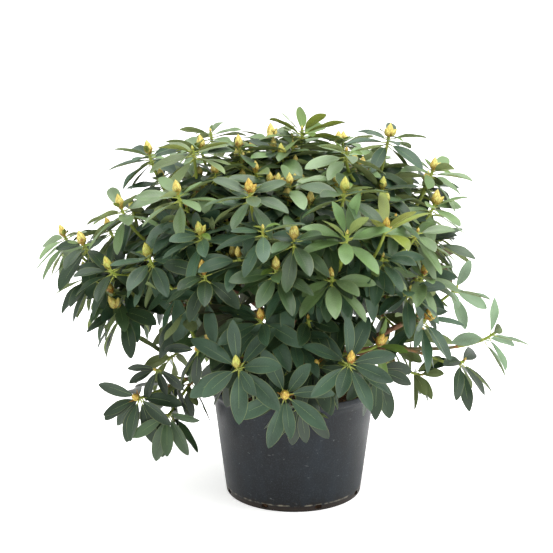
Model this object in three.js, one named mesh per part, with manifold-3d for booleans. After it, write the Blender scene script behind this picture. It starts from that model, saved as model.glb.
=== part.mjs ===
// A big container-grown rhododendron, budded up for flowering, in its round nursery pot.
// Millimetres. X runs to the right, Y away from the front and Z up. The origin is the middle of
// the pot's flat underside. Every leaf mass grows by one seeded rule from a bough of its own.

import * as THREE from "three";
import { mergeVertices } from "three/addons/utils/BufferGeometryUtils.js";
import Module from "manifold-3d";

const wasm = await Module();
wasm.setup();

// ---------------------------------------------------------------- driving sizes

// Pot: a thin-walled tapering tub with a flared lip.
const POT_HEIGHT = 300;
const POT_FOOT_RADIUS = 175;
const POT_NECK_RADIUS = 208; // outside, just under the flare
const POT_LIP_RADIUS = 232.5;
const LIP_BAND = 14; // height of the upright band
const LIP_FLARE = 20; // height of the flare under it
const POT_WALL = 3.2;
const POT_FLOOR = 4;
const POT_SIDES = 36;
const DRAIN_HOLES = 8;
const DRAIN_FIRST = -69; // degrees from the front, positive towards the right
const DRAIN_WIDTH = 18;
const DRAIN_HEIGHT = 11;
const DRAIN_DEPTH = 26; // of the cut that goes through the wall
const DRAIN_SILL = 6; // from the underside to the hole's lower edge

// Potting soil.
const SOIL_LEVEL = 262;
const SOIL_DOME = 5; // how much lower it lies at the pot's wall
const SOIL_FLAT_RADIUS = 100; // of its level middle, round the stem
const SOIL_CLEAR = 0.5; // from the pot's wall

// Wood.
const CLEAR = 0.3; // gap between pieces that touch
const FLARE_RADIUS = 42; // the stem's foot on the soil
const STEM_RADIUS = 25;
const FORK_HEIGHT = 338; // where the stem ends in boughs
const STEM_LEAN = 6; // sideways, over its height
const STEM_SIDES = 9;
const STEM_STEPS = 3;
const LEADER_RADIUS = 11.5; // a bough that leaves the stem
const SIDE_BOUGH_RADIUS = 9; // a bough that leaves another bough
const BOUGH_TIP_RADIUS = 6.5;
const BOUGH_SIDES = 5;
const BOUGH_STEPS = 3;
const BOUGH_SHARE = 0.5; // of the way to the tip, where the leaf mass begins
const BOUGH_TAPER = 0.7; // under 1, a bough thins mostly near its start
const STEM_FORKS = [0.62, 0.97]; // shares of the stem's height where level and steep boughs leave
const BOUGH_FORKS = [0.5, 0.7]; // shares of a bough's length between which side boughs leave
const LEADER_LIFT = [0.5, 0.95]; // from outward to straight up, for level and steep boughs
const SIDE_BOUGH_ONWARD = 0.35; // how far a side bough first follows its parent

// Shoots, leaves and flower buds.
const CROWN_MIDDLE = new THREE.Vector3(0, 0, 400); // azimuth, rise and reach are taken from here
const TWIG_SIDES = 3;
const MASS_STEM_RADIUS = 7;
const MASS_STEM_STEPS = 3;
const SHOOT_RADIUS = 5;
const SHOOT_STEPS = 2;
const SHOOT_UPTURN = 0.6; // how far the tip of a steep shoot turns from outward to straight up
const FLAT_RISE = -20; // degrees; a shoot that leads this low doesn't turn up
const FULL_RISE = 30; // one that leads this high turns up in full
const BUD_UPTURN = 0.35; // how far a bud turns up from its shoot's tip
const SHOOT_REACH = [0.84, 0.97]; // of the leading shoot's, for the others
const SHOOT_FORKS = [0.1, 0.45]; // shares of the mass's stem between which they leave it
const SPREAD_RANGE = [0.9, 1.15]; // of the row's spread
const LEAVES_PER_SHOOT = 7;
const LEAF_LENGTH = 128;
const LEAF_WIDTH = 54;
const LEAF_THICKNESS = 3;
const LEAF_SAG = 0.6; // of the thickness, from the leaf's middle line down to its margins
const LEAF_MIDDLE = 0.54; // where a leaf is widest, from its root
const LEAF_TWIST = 70; // degrees, the spread of the leaves' twist about their own length
const FIRST_LEAF = 8; // from the shoot's end down to its youngest leaf
const LEAF_PITCH = 4.5; // along the shoot, from one leaf to the next
const STALK_ZONE = 22; // a leaf's narrow foot, where it may meet its neighbours'
const OPENING_JITTER = 10;
const ROOT_SINK = 1; // a leaf's root lies this far past its shoot's axis
const LEAF_TRIES = 5; // turns of a leaf that are tried before it is left out
const SHOOT_TRIES = 8; // the same, for a shoot
const RETRY_TURN = 23; // degrees from one try to the next
const BUDDED_SHARE = 0.75; // of the shoots that end in a flower bud
const BUD_LENGTH = 40;
const BUD_RADIUS = 11;
const BUD_NECK_RADIUS = 6.5;
const BUD_ROOT = 5; // how deep it is sunk in the shoot's end
const BUD_WIDEST = 0.35; // of its length
const BUD_SIDES = 5;
const BUD_SIZES = [0.8, 1];
const GOLDEN_ANGLE = 137.508;

// The leaves' habit in a low mass and in one of this rise or more, each for the youngest and the
// oldest leaf of a shoot: degrees off the shoot, the pull towards the ground, the same of the outer
// half more, the lean out of the crown, and the size.
const HIGH_RISE = 55;
const LOW_HABIT = {
  opening: [60, 100], pull: [0.1, 0.5], tipPull: [0.3, 0.8], lean: [0.12, 0.22], size: [0.84, 1.06],
};
const HIGH_HABIT = {
  opening: [74, 102], pull: [0, 0.12], tipPull: [0.2, 0.5], lean: [0, 0], size: [0.8, 1.02],
};

// Azimuth and rise of the shoots' tips in the masses where they don't simply turn up.
const TURNED_TIPS = {
  low_left: [252, 12],
  right_long_low: [325, 42],
  right_long_high: [325, 45],
};

// One row for each leaf mass: its name, what its bough grows from, the azimuth (0 right, 90 away,
// 180 left, 270 front) and rise of its leading bud in degrees, that bud's reach, the number of
// shoots, how far they spread from the leading one, and the turn of the first of them.
const MASSES = [
  ["top", "stem", 0, 88, 540, 3, 15, -100],
  ["upper_left", "stem", 180, 53, 600, 3, 16, 40],
  ["far_left", "stem", 180, 25, 640, 3, 10, 15],
  ["front_middle", "stem", 270, 42.5, 515, 2, 9, -125],
  ["right_shoulder", "stem", 0, 52, 560, 3, 10, -152],
  ["back_left", "stem", 130, 55, 605, 3, 20, 40],
  ["back_right", "stem", 60, 46, 560, 3, 22, 120],
  ["low_left", "stem", 198, -16, 428, 3, 10, -60],
  ["right_long_low", "stem", 354, 4, 510, 2, 9, -90],
  ["front_low_middle", "stem", 267, -4, 380, 1, 0, 0],
  ["top_left", "top", 201, 74, 525, 2, 13, -15],
  ["back_top", "top", 105, 64, 545, 3, 19, 150],
  ["upper_right", "right_shoulder", 0, 66, 575, 2, 19, 145],
  ["left_shoulder", "upper_left", 196, 40, 570, 2, 16, -60],
  ["left_low", "far_left", 193, 21, 555, 2, 8, -45],
  ["front_upper_left", "left_shoulder", 223, 49, 565, 2, 11, -35],
  ["front_upper_middle", "front_middle", 253, 52, 565, 2, 9, -60],
  ["front_upper_right", "front_middle", 291, 54, 545, 2, 14, 140],
  ["front_left", "stem", 216, 33, 505, 2, 21, 5],
  ["front_right", "stem", 288, 42.5, 527, 2, 8, -115],
  ["front_right_side", "front_right", 303, 43, 525, 2, 15, 5],
  ["right_middle", "right_shoulder", 0, 36, 450, 2, 28, -180],
  ["right_long_high", "right_long_low", 353, 20, 435, 2, 30, -180],
  ["right_low", "right_long_low", 0, -16, 340, 2, 28, 10],
  ["front_low_left", "front_left", 252, 7, 425, 2, 16, 75],
  ["front_low_right", "front_right", 289, 8, 405, 2, 17, 15],
  ["back_low_left", "back_left", 135, 11, 495, 3, 24, 90],
  ["back_low_right", "back_right", 60, 10, 485, 3, 24, -20],
];

// ---------------------------------------------------------------- small tools

const UP = new THREE.Vector3(0, 0, 1);
const radians = THREE.MathUtils.degToRad;
const mix = THREE.MathUtils.lerp;

// A number from 0 to 1 that depends only on the two given ones.
function chance(a, b) {
  const value = Math.sin(a * 12.9898 + b * 78.233) * 43758.5453;
  return value - Math.floor(value);
}

function along(point, direction, distance) {
  return point.clone().addScaledVector(direction, distance);
}

function direction(azimuth, rise) {
  const flat = Math.cos(radians(rise));
  return new THREE.Vector3(
    flat * Math.cos(radians(azimuth)),
    flat * Math.sin(radians(azimuth)),
    Math.sin(radians(rise)),
  );
}

// A closed three.js geometry as a solid.
function solidOf(geometry) {
  const bare = geometry.clone();
  bare.deleteAttribute("normal");
  bare.deleteAttribute("uv");
  const merged = mergeVertices(bare, 1e-4);
  const mesh = new wasm.Mesh({
    numProp: 3,
    vertProperties: new Float32Array(merged.attributes.position.array),
    triVerts: new Uint32Array(merged.index.array),
  });
  mesh.merge();
  return new wasm.Manifold(mesh);
}

function geometryOf(solid) {
  const mesh = solid.getMesh();
  const geometry = new THREE.BufferGeometry();
  geometry.setAttribute("position", new THREE.BufferAttribute(mesh.vertProperties, 3));
  geometry.setIndex(new THREE.BufferAttribute(mesh.triVerts, 1));
  geometry.computeVertexNormals();
  return geometry;
}

// Solids of revolution are drawn about Y, so they are turned to stand on Z.
function turned(profile, sides) {
  const points = profile.map(([radius, height]) => new THREE.Vector2(radius, height));
  return new THREE.LatheGeometry(points, sides).rotateX(Math.PI / 2);
}

// A cylinder bent along a curve, with its radius given all along it.
function bentLimb(curve, radiusAt, sides, steps) {
  const straight = new THREE.CylinderGeometry(1, 1, 1, sides, steps);
  const frames = curve.computeFrenetFrames(steps, false);
  const places = straight.attributes.position;
  for (let i = 0; i < places.count; i += 1) {
    const share = THREE.MathUtils.clamp(places.getY(i) + 0.5, 0, 1);
    const step = Math.round(share * steps);
    const radius = radiusAt(share);
    const place = curve.getPointAt(share);
    place.addScaledVector(frames.normals[step], -places.getX(i) * radius);
    place.addScaledVector(frames.binormals[step], places.getZ(i) * radius);
    places.setXYZ(i, place.x, place.y, place.z);
  }
  return solidOf(straight);
}

// The two halves of a cubic curve, cut at the given share.
function splitCurve(curve, share) {
  const { v0, v1, v2, v3 } = curve;
  const a = v0.clone().lerp(v1, share);
  const b = v1.clone().lerp(v2, share);
  const c = v2.clone().lerp(v3, share);
  const d = a.clone().lerp(b, share);
  const e = b.clone().lerp(c, share);
  const middle = d.clone().lerp(e, share);
  return [
    new THREE.CubicBezierCurve3(v0.clone(), a, d, middle),
    new THREE.CubicBezierCurve3(middle.clone(), e, c, v3.clone()),
  ];
}

// A limb's path: it leaves one way, arrives another way and bows smoothly in between.
function limbPath(start, leaving, end, arriving) {
  const handle = start.distanceTo(end) / 3;
  return new THREE.CubicBezierCurve3(
    start,
    along(start, leaving, handle),
    along(end, arriving, -handle),
    end,
  );
}

// The outer skin of the largest body, so no scrap and no sealed hollow stays.
function mainBody(solid) {
  const bodies = solid.decompose();
  return bodies.reduce((best, body) => (body.volume() > best.volume() ? body : best));
}

// ---------------------------------------------------------------- pot and soil

const FLARE_FOOT = POT_HEIGHT - LIP_BAND - LIP_FLARE;

// The wall's inner radius at a height under the flare.
function potInside(height) {
  return mix(POT_FOOT_RADIUS, POT_NECK_RADIUS, height / FLARE_FOOT) - POT_WALL;
}

function potSolid() {
  const flareRise = POT_WALL * Math.tan(Math.PI / 8); // keeps the wall's thickness through the flare
  const body = solidOf(turned([
    [0, 0],
    [POT_FOOT_RADIUS, 0],
    [POT_NECK_RADIUS, FLARE_FOOT],
    [POT_LIP_RADIUS, FLARE_FOOT + LIP_FLARE],
    [POT_LIP_RADIUS, POT_HEIGHT],
    [POT_LIP_RADIUS - POT_WALL, POT_HEIGHT],
    [POT_LIP_RADIUS - POT_WALL, FLARE_FOOT + LIP_FLARE + flareRise],
    [potInside(FLARE_FOOT), FLARE_FOOT + flareRise],
    [potInside(POT_FLOOR), POT_FLOOR],
    [0, POT_FLOOR],
  ], POT_SIDES));
  const holes = [];
  for (let k = 0; k < DRAIN_HOLES; k += 1) {
    const angle = DRAIN_FIRST - 90 + (k * 360) / DRAIN_HOLES;
    const hole = new THREE.BoxGeometry(DRAIN_DEPTH, DRAIN_WIDTH, DRAIN_HEIGHT);
    hole.translate(POT_FOOT_RADIUS, 0, DRAIN_SILL + DRAIN_HEIGHT / 2);
    holes.push(solidOf(hole.rotateZ(radians(angle))));
  }
  return body.subtract(wasm.Manifold.union(holes));
}

function soilSolid() {
  const floor = POT_FLOOR + CLEAR;
  const edge = SOIL_LEVEL - SOIL_DOME;
  return solidOf(turned([
    [0, floor],
    [potInside(floor) - SOIL_CLEAR, floor],
    [potInside(edge) - SOIL_CLEAR, edge],
    [SOIL_FLAT_RADIUS, SOIL_LEVEL],
    [0, SOIL_LEVEL],
  ], POT_SIDES));
}

// ---------------------------------------------------------------- stem and boughs

const stemPath = limbPath(
  new THREE.Vector3(-STEM_LEAN, 0, SOIL_LEVEL + CLEAR),
  UP,
  new THREE.Vector3(0, 0, FORK_HEIGHT),
  UP,
);

// The stem with its root flare, or the same stem a little thicker.
function stemSolid(extra) {
  const radiusAt = (share) => mix(STEM_RADIUS, FLARE_RADIUS, (1 - share) ** 3) + extra;
  return bentLimb(stemPath, radiusAt, STEM_SIDES, STEM_STEPS);
}

// The way the tips of a mass's shoots point.
function tipDirection(name, outward) {
  if (TURNED_TIPS[name]) {
    return direction(...TURNED_TIPS[name]);
  }
  const rise = THREE.MathUtils.radToDeg(Math.asin(outward.z));
  const steepness = THREE.MathUtils.clamp((rise - FLAT_RISE) / (FULL_RISE - FLAT_RISE), 0, 1);
  return outward.clone().lerp(UP, SHOOT_UPTURN * steepness).normalize();
}

// The leaves' habit in a mass, between that of a low one and that of a high one.
function habitOf(rise) {
  const share = THREE.MathUtils.clamp(rise / HIGH_RISE, 0, 1);
  return Object.fromEntries(Object.keys(LOW_HABIT).map((trait) => [
    trait,
    LOW_HABIT[trait].map((low, i) => mix(low, HIGH_HABIT[trait][i], share)),
  ]));
}

// Where each mass leads to, and the way its bough goes there.
function layOut() {
  const limbs = new Map();
  MASSES.forEach(([name, from, azimuth, rise, reach, shoots, spread, turn], index) => {
    const outward = direction(azimuth, rise);
    const bud = along(CROWN_MIDDLE, outward, reach);
    const parent = limbs.get(from);
    let start;
    let leaving;
    if (parent) {
      const fork = mix(...BOUGH_FORKS, chance(index, 1));
      start = parent.bough.getPoint(fork);
      const onward = parent.bough.getTangent(fork);
      leaving = bud.clone().sub(start).normalize().lerp(onward, SIDE_BOUGH_ONWARD).normalize();
    } else {
      const steepness = THREE.MathUtils.clamp(rise / 90, 0, 1);
      start = stemPath.getPoint(mix(...STEM_FORKS, steepness));
      leaving = direction(azimuth, 0).lerp(UP, mix(...LEADER_LIFT, steepness)).normalize();
    }
    const path = limbPath(start, leaving, bud, tipDirection(name, outward));
    const [bough, stem] = splitCurve(path, BOUGH_SHARE);
    const radius = parent ? SIDE_BOUGH_RADIUS : LEADER_RADIUS;
    const habit = habitOf(rise);
    limbs.set(name, { name, index, outward, habit, reach, shoots, spread, turn, bough, stem, radius });
  });
  return limbs;
}

// A bough's full length, from the axis of what carries it, or the same a little thicker.
function boughSolid(limb, extra) {
  const radiusAt = (share) => mix(limb.radius, BOUGH_TIP_RADIUS, share ** BOUGH_TAPER) + extra;
  return bentLimb(limb.bough, radiusAt, BOUGH_SIDES, BOUGH_STEPS);
}

// ---------------------------------------------------------------- leaf masses

// The directions of a mass's shoots fan out around its leading one.
function shootDirection(limb, k, attempt) {
  const leading = limb.outward;
  if (k === 0) {
    return leading.clone();
  }
  const east = UP.clone().cross(leading).normalize();
  const north = leading.clone().cross(east).normalize();
  const turn = radians(limb.turn + (k - 1) * GOLDEN_ANGLE + attempt * RETRY_TURN);
  const tilt = radians(limb.spread * mix(...SPREAD_RANGE, chance(limb.index, 20 + k)));
  return leading.clone().multiplyScalar(Math.cos(tilt))
    .addScaledVector(east, Math.sin(tilt) * Math.cos(turn))
    .addScaledVector(north, Math.sin(tilt) * Math.sin(turn));
}

function shootPath(limb, k, attempt) {
  if (k === 0) {
    return limb.stem;
  }
  const outward = shootDirection(limb, k, attempt);
  const reach = limb.reach * mix(...SHOOT_REACH, chance(limb.index, 30 + k));
  const bud = along(CROWN_MIDDLE, outward, reach);
  const share = mix(...SHOOT_FORKS, (k - 1) / limb.shoots);
  const start = limb.stem.getPoint(share);
  const leaving = limb.stem.getTangent(share).lerp(bud.clone().sub(start).normalize(), 0.5).normalize();
  return limbPath(start, leaving, bud, tipDirection(limb.name, outward));
}

// A flower bud: a plump spindle on the end of its shoot.
function budSolid(tip, axis, size) {
  const bud = turned([
    [0, -BUD_ROOT],
    [BUD_NECK_RADIUS, 0],
    [BUD_RADIUS, BUD_LENGTH * BUD_WIDEST],
    [0, BUD_LENGTH],
  ], BUD_SIDES);
  bud.scale(size, size, size);
  bud.applyQuaternion(new THREE.Quaternion().setFromUnitVectors(UP, axis));
  bud.translate(tip.x, tip.y, tip.z);
  return solidOf(bud);
}

// A leaf of eight faces: a deep root, two side points, a raised midrib and a drooping tip.
function leafSolid(root, outward, side, droop, length, width) {
  const middle = along(root, outward, length * LEAF_MIDDLE);
  const outerHalf = along(outward, UP, -droop).normalize();
  const tip = along(middle, outerHalf, length * (1 - LEAF_MIDDLE));
  const upper = outward.clone().cross(side).normalize();
  const sag = LEAF_THICKNESS * LEAF_SAG;
  const points = [
    along(root, upper, LEAF_THICKNESS * 0.5),
    along(root, upper, -LEAF_THICKNESS * 0.5),
    along(along(middle, side, width / 2), upper, -sag),
    along(along(middle, side, -width / 2), upper, -sag),
    along(middle, upper, LEAF_THICKNESS - sag),
    tip,
  ];
  const faces = [[0, 4, 2], [0, 3, 4], [4, 5, 2], [4, 3, 5], [1, 2, 3], [5, 3, 2], [0, 2, 1], [0, 1, 3]];
  const mesh = new wasm.Mesh({
    numProp: 3,
    vertProperties: new Float32Array(points.flatMap((point) => point.toArray())),
    triVerts: new Uint32Array(faces.flat()),
  });
  return new wasm.Manifold(mesh);
}

// The place and bearing of one leaf on the straight last stretch of its shoot.
function leafBearing(shoot, limb, leaf, attempt) {
  const seed = limb.index * 7 + shoot.k;
  const { tip, axis } = shoot;
  const { opening, pull, tipPull, lean, size: sizes } = limb.habit;
  const out = limb.outward.clone().setZ(0).normalize();
  const around = radians(360 * chance(seed, 40) + leaf * GOLDEN_ANGLE + attempt * RETRY_TURN);
  const level = new THREE.Vector3(-axis.y, axis.x, 0).normalize();
  const uphill = axis.clone().cross(level).normalize();
  const radial = level.multiplyScalar(Math.cos(around)).addScaledVector(uphill, Math.sin(around));
  const age = leaf / (LEAVES_PER_SHOOT - 1);
  const jitter = OPENING_JITTER * (chance(seed, 50 + leaf) - 0.5);
  const opened = radians(mix(...opening, age) + jitter);
  const outward = axis.clone().multiplyScalar(Math.cos(opened))
    .addScaledVector(radial, Math.sin(opened))
    .addScaledVector(UP, -mix(...pull, age))
    .addScaledVector(out, mix(...lean, age))
    .normalize();
  const side = axis.clone().cross(radial).normalize();
  side.addScaledVector(outward, -side.dot(outward)).normalize();
  side.applyAxisAngle(outward, radians(LEAF_TWIST * (chance(seed, 90 + leaf) - 0.5)));
  const droop = mix(...tipPull, age);
  const size = mix(...sizes, 0.5 * Math.min(1, 2 * age) + 0.5 * chance(seed, 60 + leaf));
  const root = along(along(tip, axis, -FIRST_LEAF - leaf * LEAF_PITCH), radial, -ROOT_SINK);
  return { root, outward, side, droop, size };
}

// Everything that is placed so far, with its bounds, to keep each mass in its own space.
const placed = [];

function boundsOf(solid) {
  const { min, max } = solid.boundingBox();
  return new THREE.Box3(new THREE.Vector3(...min), new THREE.Vector3(...max));
}

function place(solid, owner) {
  placed.push({ solid, owner, bounds: boundsOf(solid) });
}

function isClear(solid, owners) {
  const near = boundsOf(solid).expandByScalar(2 * CLEAR);
  return placed.every((other) => owners.includes(other.owner)
    || !near.intersectsBox(other.bounds)
    || solid.minGap(other.solid, 3 * CLEAR) > 1.5 * CLEAR);
}

// A mass's wood: its stem, which ends in the leading shoot, and the shoots that branch off it. A
// shoot that would touch other wood is turned about its fan, and left out if that doesn't help.
function growWood(limb) {
  limb.grown = [];
  for (let k = 0; k < limb.shoots; k += 1) {
    const owner = k === 0 ? `${limb.name} stem` : `${limb.name} ${k}`;
    const own = [owner, `${limb.name} stem`, k === 0 ? `${limb.name} bough` : ""];
    const steps = k === 0 ? MASS_STEM_STEPS : SHOOT_STEPS;
    const radiusAt = (share) => mix(k === 0 ? MASS_STEM_RADIUS : SHOOT_RADIUS, SHOOT_RADIUS, share);
    for (let attempt = 0; attempt < SHOOT_TRIES; attempt += 1) {
      const path = shootPath(limb, k, attempt);
      const wood = bentLimb(path, radiusAt, TWIG_SIDES, steps);
      if (isClear(wood, own)) {
        const tip = path.getPoint(1);
        const axis = tip.clone().sub(path.getPointAt(1 - 1 / steps)).normalize();
        limb.grown.push({ k, tip, axis, wood, owner });
        place(wood, owner);
        break;
      }
    }
  }
}

// The whole mass: its wood with a flower bud and a whorl of leaves at the end of each shoot.
function massSolid(limb) {
  const pieces = [];
  for (const shoot of limb.grown) {
    const { k, tip, axis, wood, owner } = shoot;
    const own = [owner];
    const blades = [];
    pieces.push(wood);
    const budAxis = axis.clone().lerp(UP, BUD_UPTURN).normalize();
    const bud = budSolid(tip, budAxis, mix(...BUD_SIZES, chance(limb.index, 70 + k)));
    if (chance(limb.index, 80 + k) < BUDDED_SHARE && isClear(bud, own)) {
      pieces.push(bud);
      place(bud, owner);
    }
    for (let leaf = 0; leaf < LEAVES_PER_SHOOT; leaf += 1) {
      for (let attempt = 0; attempt < LEAF_TRIES; attempt += 1) {
        const { root, outward, side, droop, size } = leafBearing(shoot, limb, leaf, attempt);
        const length = LEAF_LENGTH * size;
        const width = LEAF_WIDTH * size;
        const foot = along(root, outward, STALK_ZONE);
        const blade = leafSolid(root, outward, side, droop, length, width);
        const open = leafSolid(foot, outward, side, droop, length - STALK_ZONE, width);
        if (isClear(blade, own) && blades.every((other) => open.minGap(other, 1) > CLEAR)) {
          pieces.push(blade);
          blades.push(open);
          place(blade, owner);
          break;
        }
      }
    }
  }
  return mainBody(wasm.Manifold.union(pieces));
}

// ---------------------------------------------------------------- the assembly

const PLASTIC = { color: 0x3a4146, roughness: 0.55, metalness: 0 };
const SOIL = { color: 0x3b2a1e, roughness: 1, metalness: 0 };
const BARK = { color: 0x6b4f3a, roughness: 0.9, metalness: 0 };
const FOLIAGE = { color: 0x4a6b45, roughness: 0.5, metalness: 0 };

const plant = new THREE.Group();

function addPiece(name, solid, look) {
  const mesh = new THREE.Mesh(geometryOf(solid), new THREE.MeshStandardMaterial(look));
  mesh.name = name;
  plant.add(mesh);
}

const pot = potSolid();
place(pot, "pot");
addPiece("pot", pot, PLASTIC);

const soil = soilSolid();
place(soil, "soil");
addPiece("potting_soil", soil, SOIL);

const mainStem = stemSolid(0);
place(mainStem, "stem");
addPiece("main_stem", mainStem, BARK);

// Each bough is cut clear of the stem and of the boughs before it.
const limbs = layOut();
const woodInTheWay = [stemSolid(CLEAR)];
for (const limb of limbs.values()) {
  const bough = mainBody(boughSolid(limb, 0).subtract(wasm.Manifold.union(woodInTheWay)));
  woodInTheWay.push(boughSolid(limb, CLEAR));
  place(bough, `${limb.name} bough`);
  addPiece(`bough_${limb.name}`, bough, BARK);
}

// All the wood of the masses comes first, then the buds and leaves between it.
for (const limb of limbs.values()) {
  limb.stem = splitCurve(limb.stem, CLEAR / limb.stem.getLength())[1];
  growWood(limb);
}
for (const limb of limbs.values()) {
  addPiece(`foliage_${limb.name}`, massSolid(limb), FOLIAGE);
}

export default plant;
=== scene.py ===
"""The looks of a big container-grown rhododendron, budded up for flowering, in its round nursery pot.

Metres. X runs to the right, Y away from the front and Z up. The origin is the middle of the pot's
flat underside. The shoots and leaves grow from the limbs by the same seeded rule as the solids do,
carried on to more shoots, whole whorls and fine leaves.
"""

import math
from collections import defaultdict, namedtuple

import bmesh
import bpy
import numpy as np
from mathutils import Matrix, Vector, noise
from mathutils.bvhtree import BVHTree


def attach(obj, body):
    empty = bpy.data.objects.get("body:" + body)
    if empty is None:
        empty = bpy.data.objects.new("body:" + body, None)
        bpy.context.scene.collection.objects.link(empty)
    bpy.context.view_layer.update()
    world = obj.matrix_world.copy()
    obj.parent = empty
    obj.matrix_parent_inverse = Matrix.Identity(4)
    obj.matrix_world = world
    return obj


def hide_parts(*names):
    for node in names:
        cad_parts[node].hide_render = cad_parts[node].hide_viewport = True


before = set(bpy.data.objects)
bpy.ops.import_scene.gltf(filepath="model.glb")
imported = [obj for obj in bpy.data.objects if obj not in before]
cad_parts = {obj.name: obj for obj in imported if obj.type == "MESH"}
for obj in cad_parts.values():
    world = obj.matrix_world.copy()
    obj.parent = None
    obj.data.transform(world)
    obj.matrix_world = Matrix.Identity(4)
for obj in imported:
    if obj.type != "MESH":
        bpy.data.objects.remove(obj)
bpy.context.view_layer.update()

# ---------------- driving sizes, as in the solids

POT_HEIGHT = 0.300
POT_FOOT_RADIUS = 0.175
POT_NECK_RADIUS = 0.208
POT_LIP_RADIUS = 0.2325
LIP_BAND = 0.014
LIP_FLARE = 0.020
POT_WALL = 0.0032
POT_FLOOR = 0.004
DRAIN_HOLES = 8
DRAIN_FIRST = -69
DRAIN_WIDTH = 0.018
DRAIN_HEIGHT = 0.011
DRAIN_DEPTH = 0.026
DRAIN_SILL = 0.006

SOIL_LEVEL = 0.262
SOIL_DOME = 0.005
SOIL_CLEAR = 0.0005

CLEAR = 0.0003
FLARE_RADIUS = 0.042
STEM_RADIUS = 0.025
FORK_HEIGHT = 0.338
STEM_LEAN = 0.006
LEADER_RADIUS = 0.0115
SIDE_BOUGH_RADIUS = 0.009
BOUGH_TIP_RADIUS = 0.0065
BOUGH_SHARE = 0.5
BOUGH_TAPER = 0.7
STEM_FORKS = (0.62, 0.97)
BOUGH_FORKS = (0.5, 0.7)
LEADER_LIFT = (0.5, 0.95)
SIDE_BOUGH_ONWARD = 0.35

CROWN_MIDDLE = np.array([0.0, 0.0, 0.4])
SHOOT_UPTURN = 0.6  # how far the tip of a steep shoot turns from outward to straight up
FLAT_RISE = -20  # degrees; a shoot that leads this low doesn't turn up
FULL_RISE = 30  # one that leads this high turns up in full
BUD_UPTURN = 0.35  # how far a bud turns up from its shoot's tip
# Azimuth and rise of the shoots' tips in the masses where they don't simply turn up.
TURNED_TIPS = {"low_left": (252, 12), "right_long_low": (325, 42), "right_long_high": (325, 45)}
SHOOT_REACH = (0.84, 0.97)
SHOOT_FORKS = (0.1, 0.45)
SPREAD_RANGE = (0.9, 1.15)
FIRST_LEAF = 0.004
GOLDEN_ANGLE = 137.508
BUDDED_SHARE = 0.75
BUD_LENGTH = 0.038
BUD_RADIUS = 0.0106
BUD_SIZES = (0.8, 1.0)

# One row for each leaf mass: its name, what its bough grows from, the azimuth (0 right, 90 away,
# 180 left, 270 front) and rise of its leading bud in degrees, that bud's reach, the number of
# its outer shoots, how far they spread from the leading one, and the turn of the first of them.
MASSES = [
    ("top", "stem", 0, 88, 0.540, 3, 15, -100),
    ("upper_left", "stem", 180, 53, 0.600, 3, 16, 40),
    ("far_left", "stem", 180, 25, 0.640, 3, 10, 15),
    ("front_middle", "stem", 270, 42.5, 0.515, 2, 9, -125),
    ("right_shoulder", "stem", 0, 52, 0.560, 3, 10, -152),
    ("back_left", "stem", 130, 55, 0.605, 3, 20, 40),
    ("back_right", "stem", 60, 46, 0.560, 3, 22, 120),
    ("low_left", "stem", 198, -16, 0.428, 3, 10, -60),
    ("right_long_low", "stem", 354, 4, 0.510, 2, 9, -90),
    ("front_low_middle", "stem", 267, -4, 0.380, 1, 0, 0),
    ("top_left", "top", 201, 74, 0.525, 2, 13, -15),
    ("back_top", "top", 105, 64, 0.545, 3, 19, 150),
    ("upper_right", "right_shoulder", 0, 66, 0.575, 2, 19, 145),
    ("left_shoulder", "upper_left", 196, 40, 0.570, 2, 16, -60),
    ("left_low", "far_left", 193, 21, 0.555, 2, 8, -45),
    ("front_upper_left", "left_shoulder", 223, 49, 0.565, 2, 11, -35),
    ("front_upper_middle", "front_middle", 253, 52, 0.565, 2, 9, -60),
    ("front_upper_right", "front_middle", 291, 54, 0.545, 2, 14, 140),
    ("front_left", "stem", 216, 33, 0.505, 2, 21, 5),
    ("front_right", "stem", 288, 42.5, 0.527, 2, 8, -115),
    ("front_right_side", "front_right", 303, 43, 0.525, 2, 15, 5),
    ("right_middle", "right_shoulder", 0, 36, 0.450, 2, 28, -180),
    ("right_long_high", "right_long_low", 353, 20, 0.435, 2, 30, -180),
    ("right_low", "right_long_low", 0, -16, 0.340, 2, 28, 10),
    ("front_low_left", "front_left", 252, 7, 0.425, 2, 16, 75),
    ("front_low_right", "front_right", 289, 8, 0.405, 2, 17, 15),
    ("back_low_left", "back_left", 135, 11, 0.495, 3, 24, 90),
    ("back_low_right", "back_right", 60, 10, 0.485, 3, 24, -20),
]

# ---------------- sizes of the finer growth

INNER_SHOOTS = [(45, 6), (30, 4), (-10, 3)]  # more shoots in a mass of at least this rise
# The same for the masses where there are fewer or more.
OWN_INNER_SHOOTS = {
    "right_long_low": 0, "right_long_high": 0, "right_middle": 1, "left_low": 1,
    "back_low_left": 6, "back_low_right": 6,
}
INNER_REACH = (0.72, 0.88)  # they end a little inside the outer ones
STEEP_INNER_REACH = (0.80, 0.96)  # in the masses that rise steepest
INNER_SPREAD = 1.3  # of the row's spread
INNER_LIFT = 0.8  # how far they fan upwards rather than down
INNER_FORKS = (0.0, 0.5)  # where on the leading shoot they start
SHOOT_DIVERGENCE = 0.5  # how far a shoot leaves towards its own tip rather than on along its parent
LEAST_SPREAD = 14  # degrees, for the inner shoots of a mass with narrow ones
SHOOT_RADIUS = 0.0036
SHOOT_SIDES = 8
FRESH_SHOOT = 1.3  # how much thicker the shoots with the freshest leaves are
SHOOT_FOOT = 1.12  # its radius where the year's growth starts, to that at its tip
BUD_SEAT = 1.15  # the same right under the bud
OLD_SHOOT_FOOT = 0.00624  # radii of the older wood at both its ends
OLD_SHOOT_TIP = 0.00414
YEAR_JOINT = np.array([1.15, 1.42, 1.30, 1.40, 1.1])  # the swelling where a year's growth began
YEAR_GROWTH = 0.115  # from one whorl down to the next, which is a year older
WHORL_LEAVES = 11
INNER_LEAVES = 9
OLD_WHORL_LEAVES = (5, 4)  # on the growth of last year and of the year before
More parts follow.
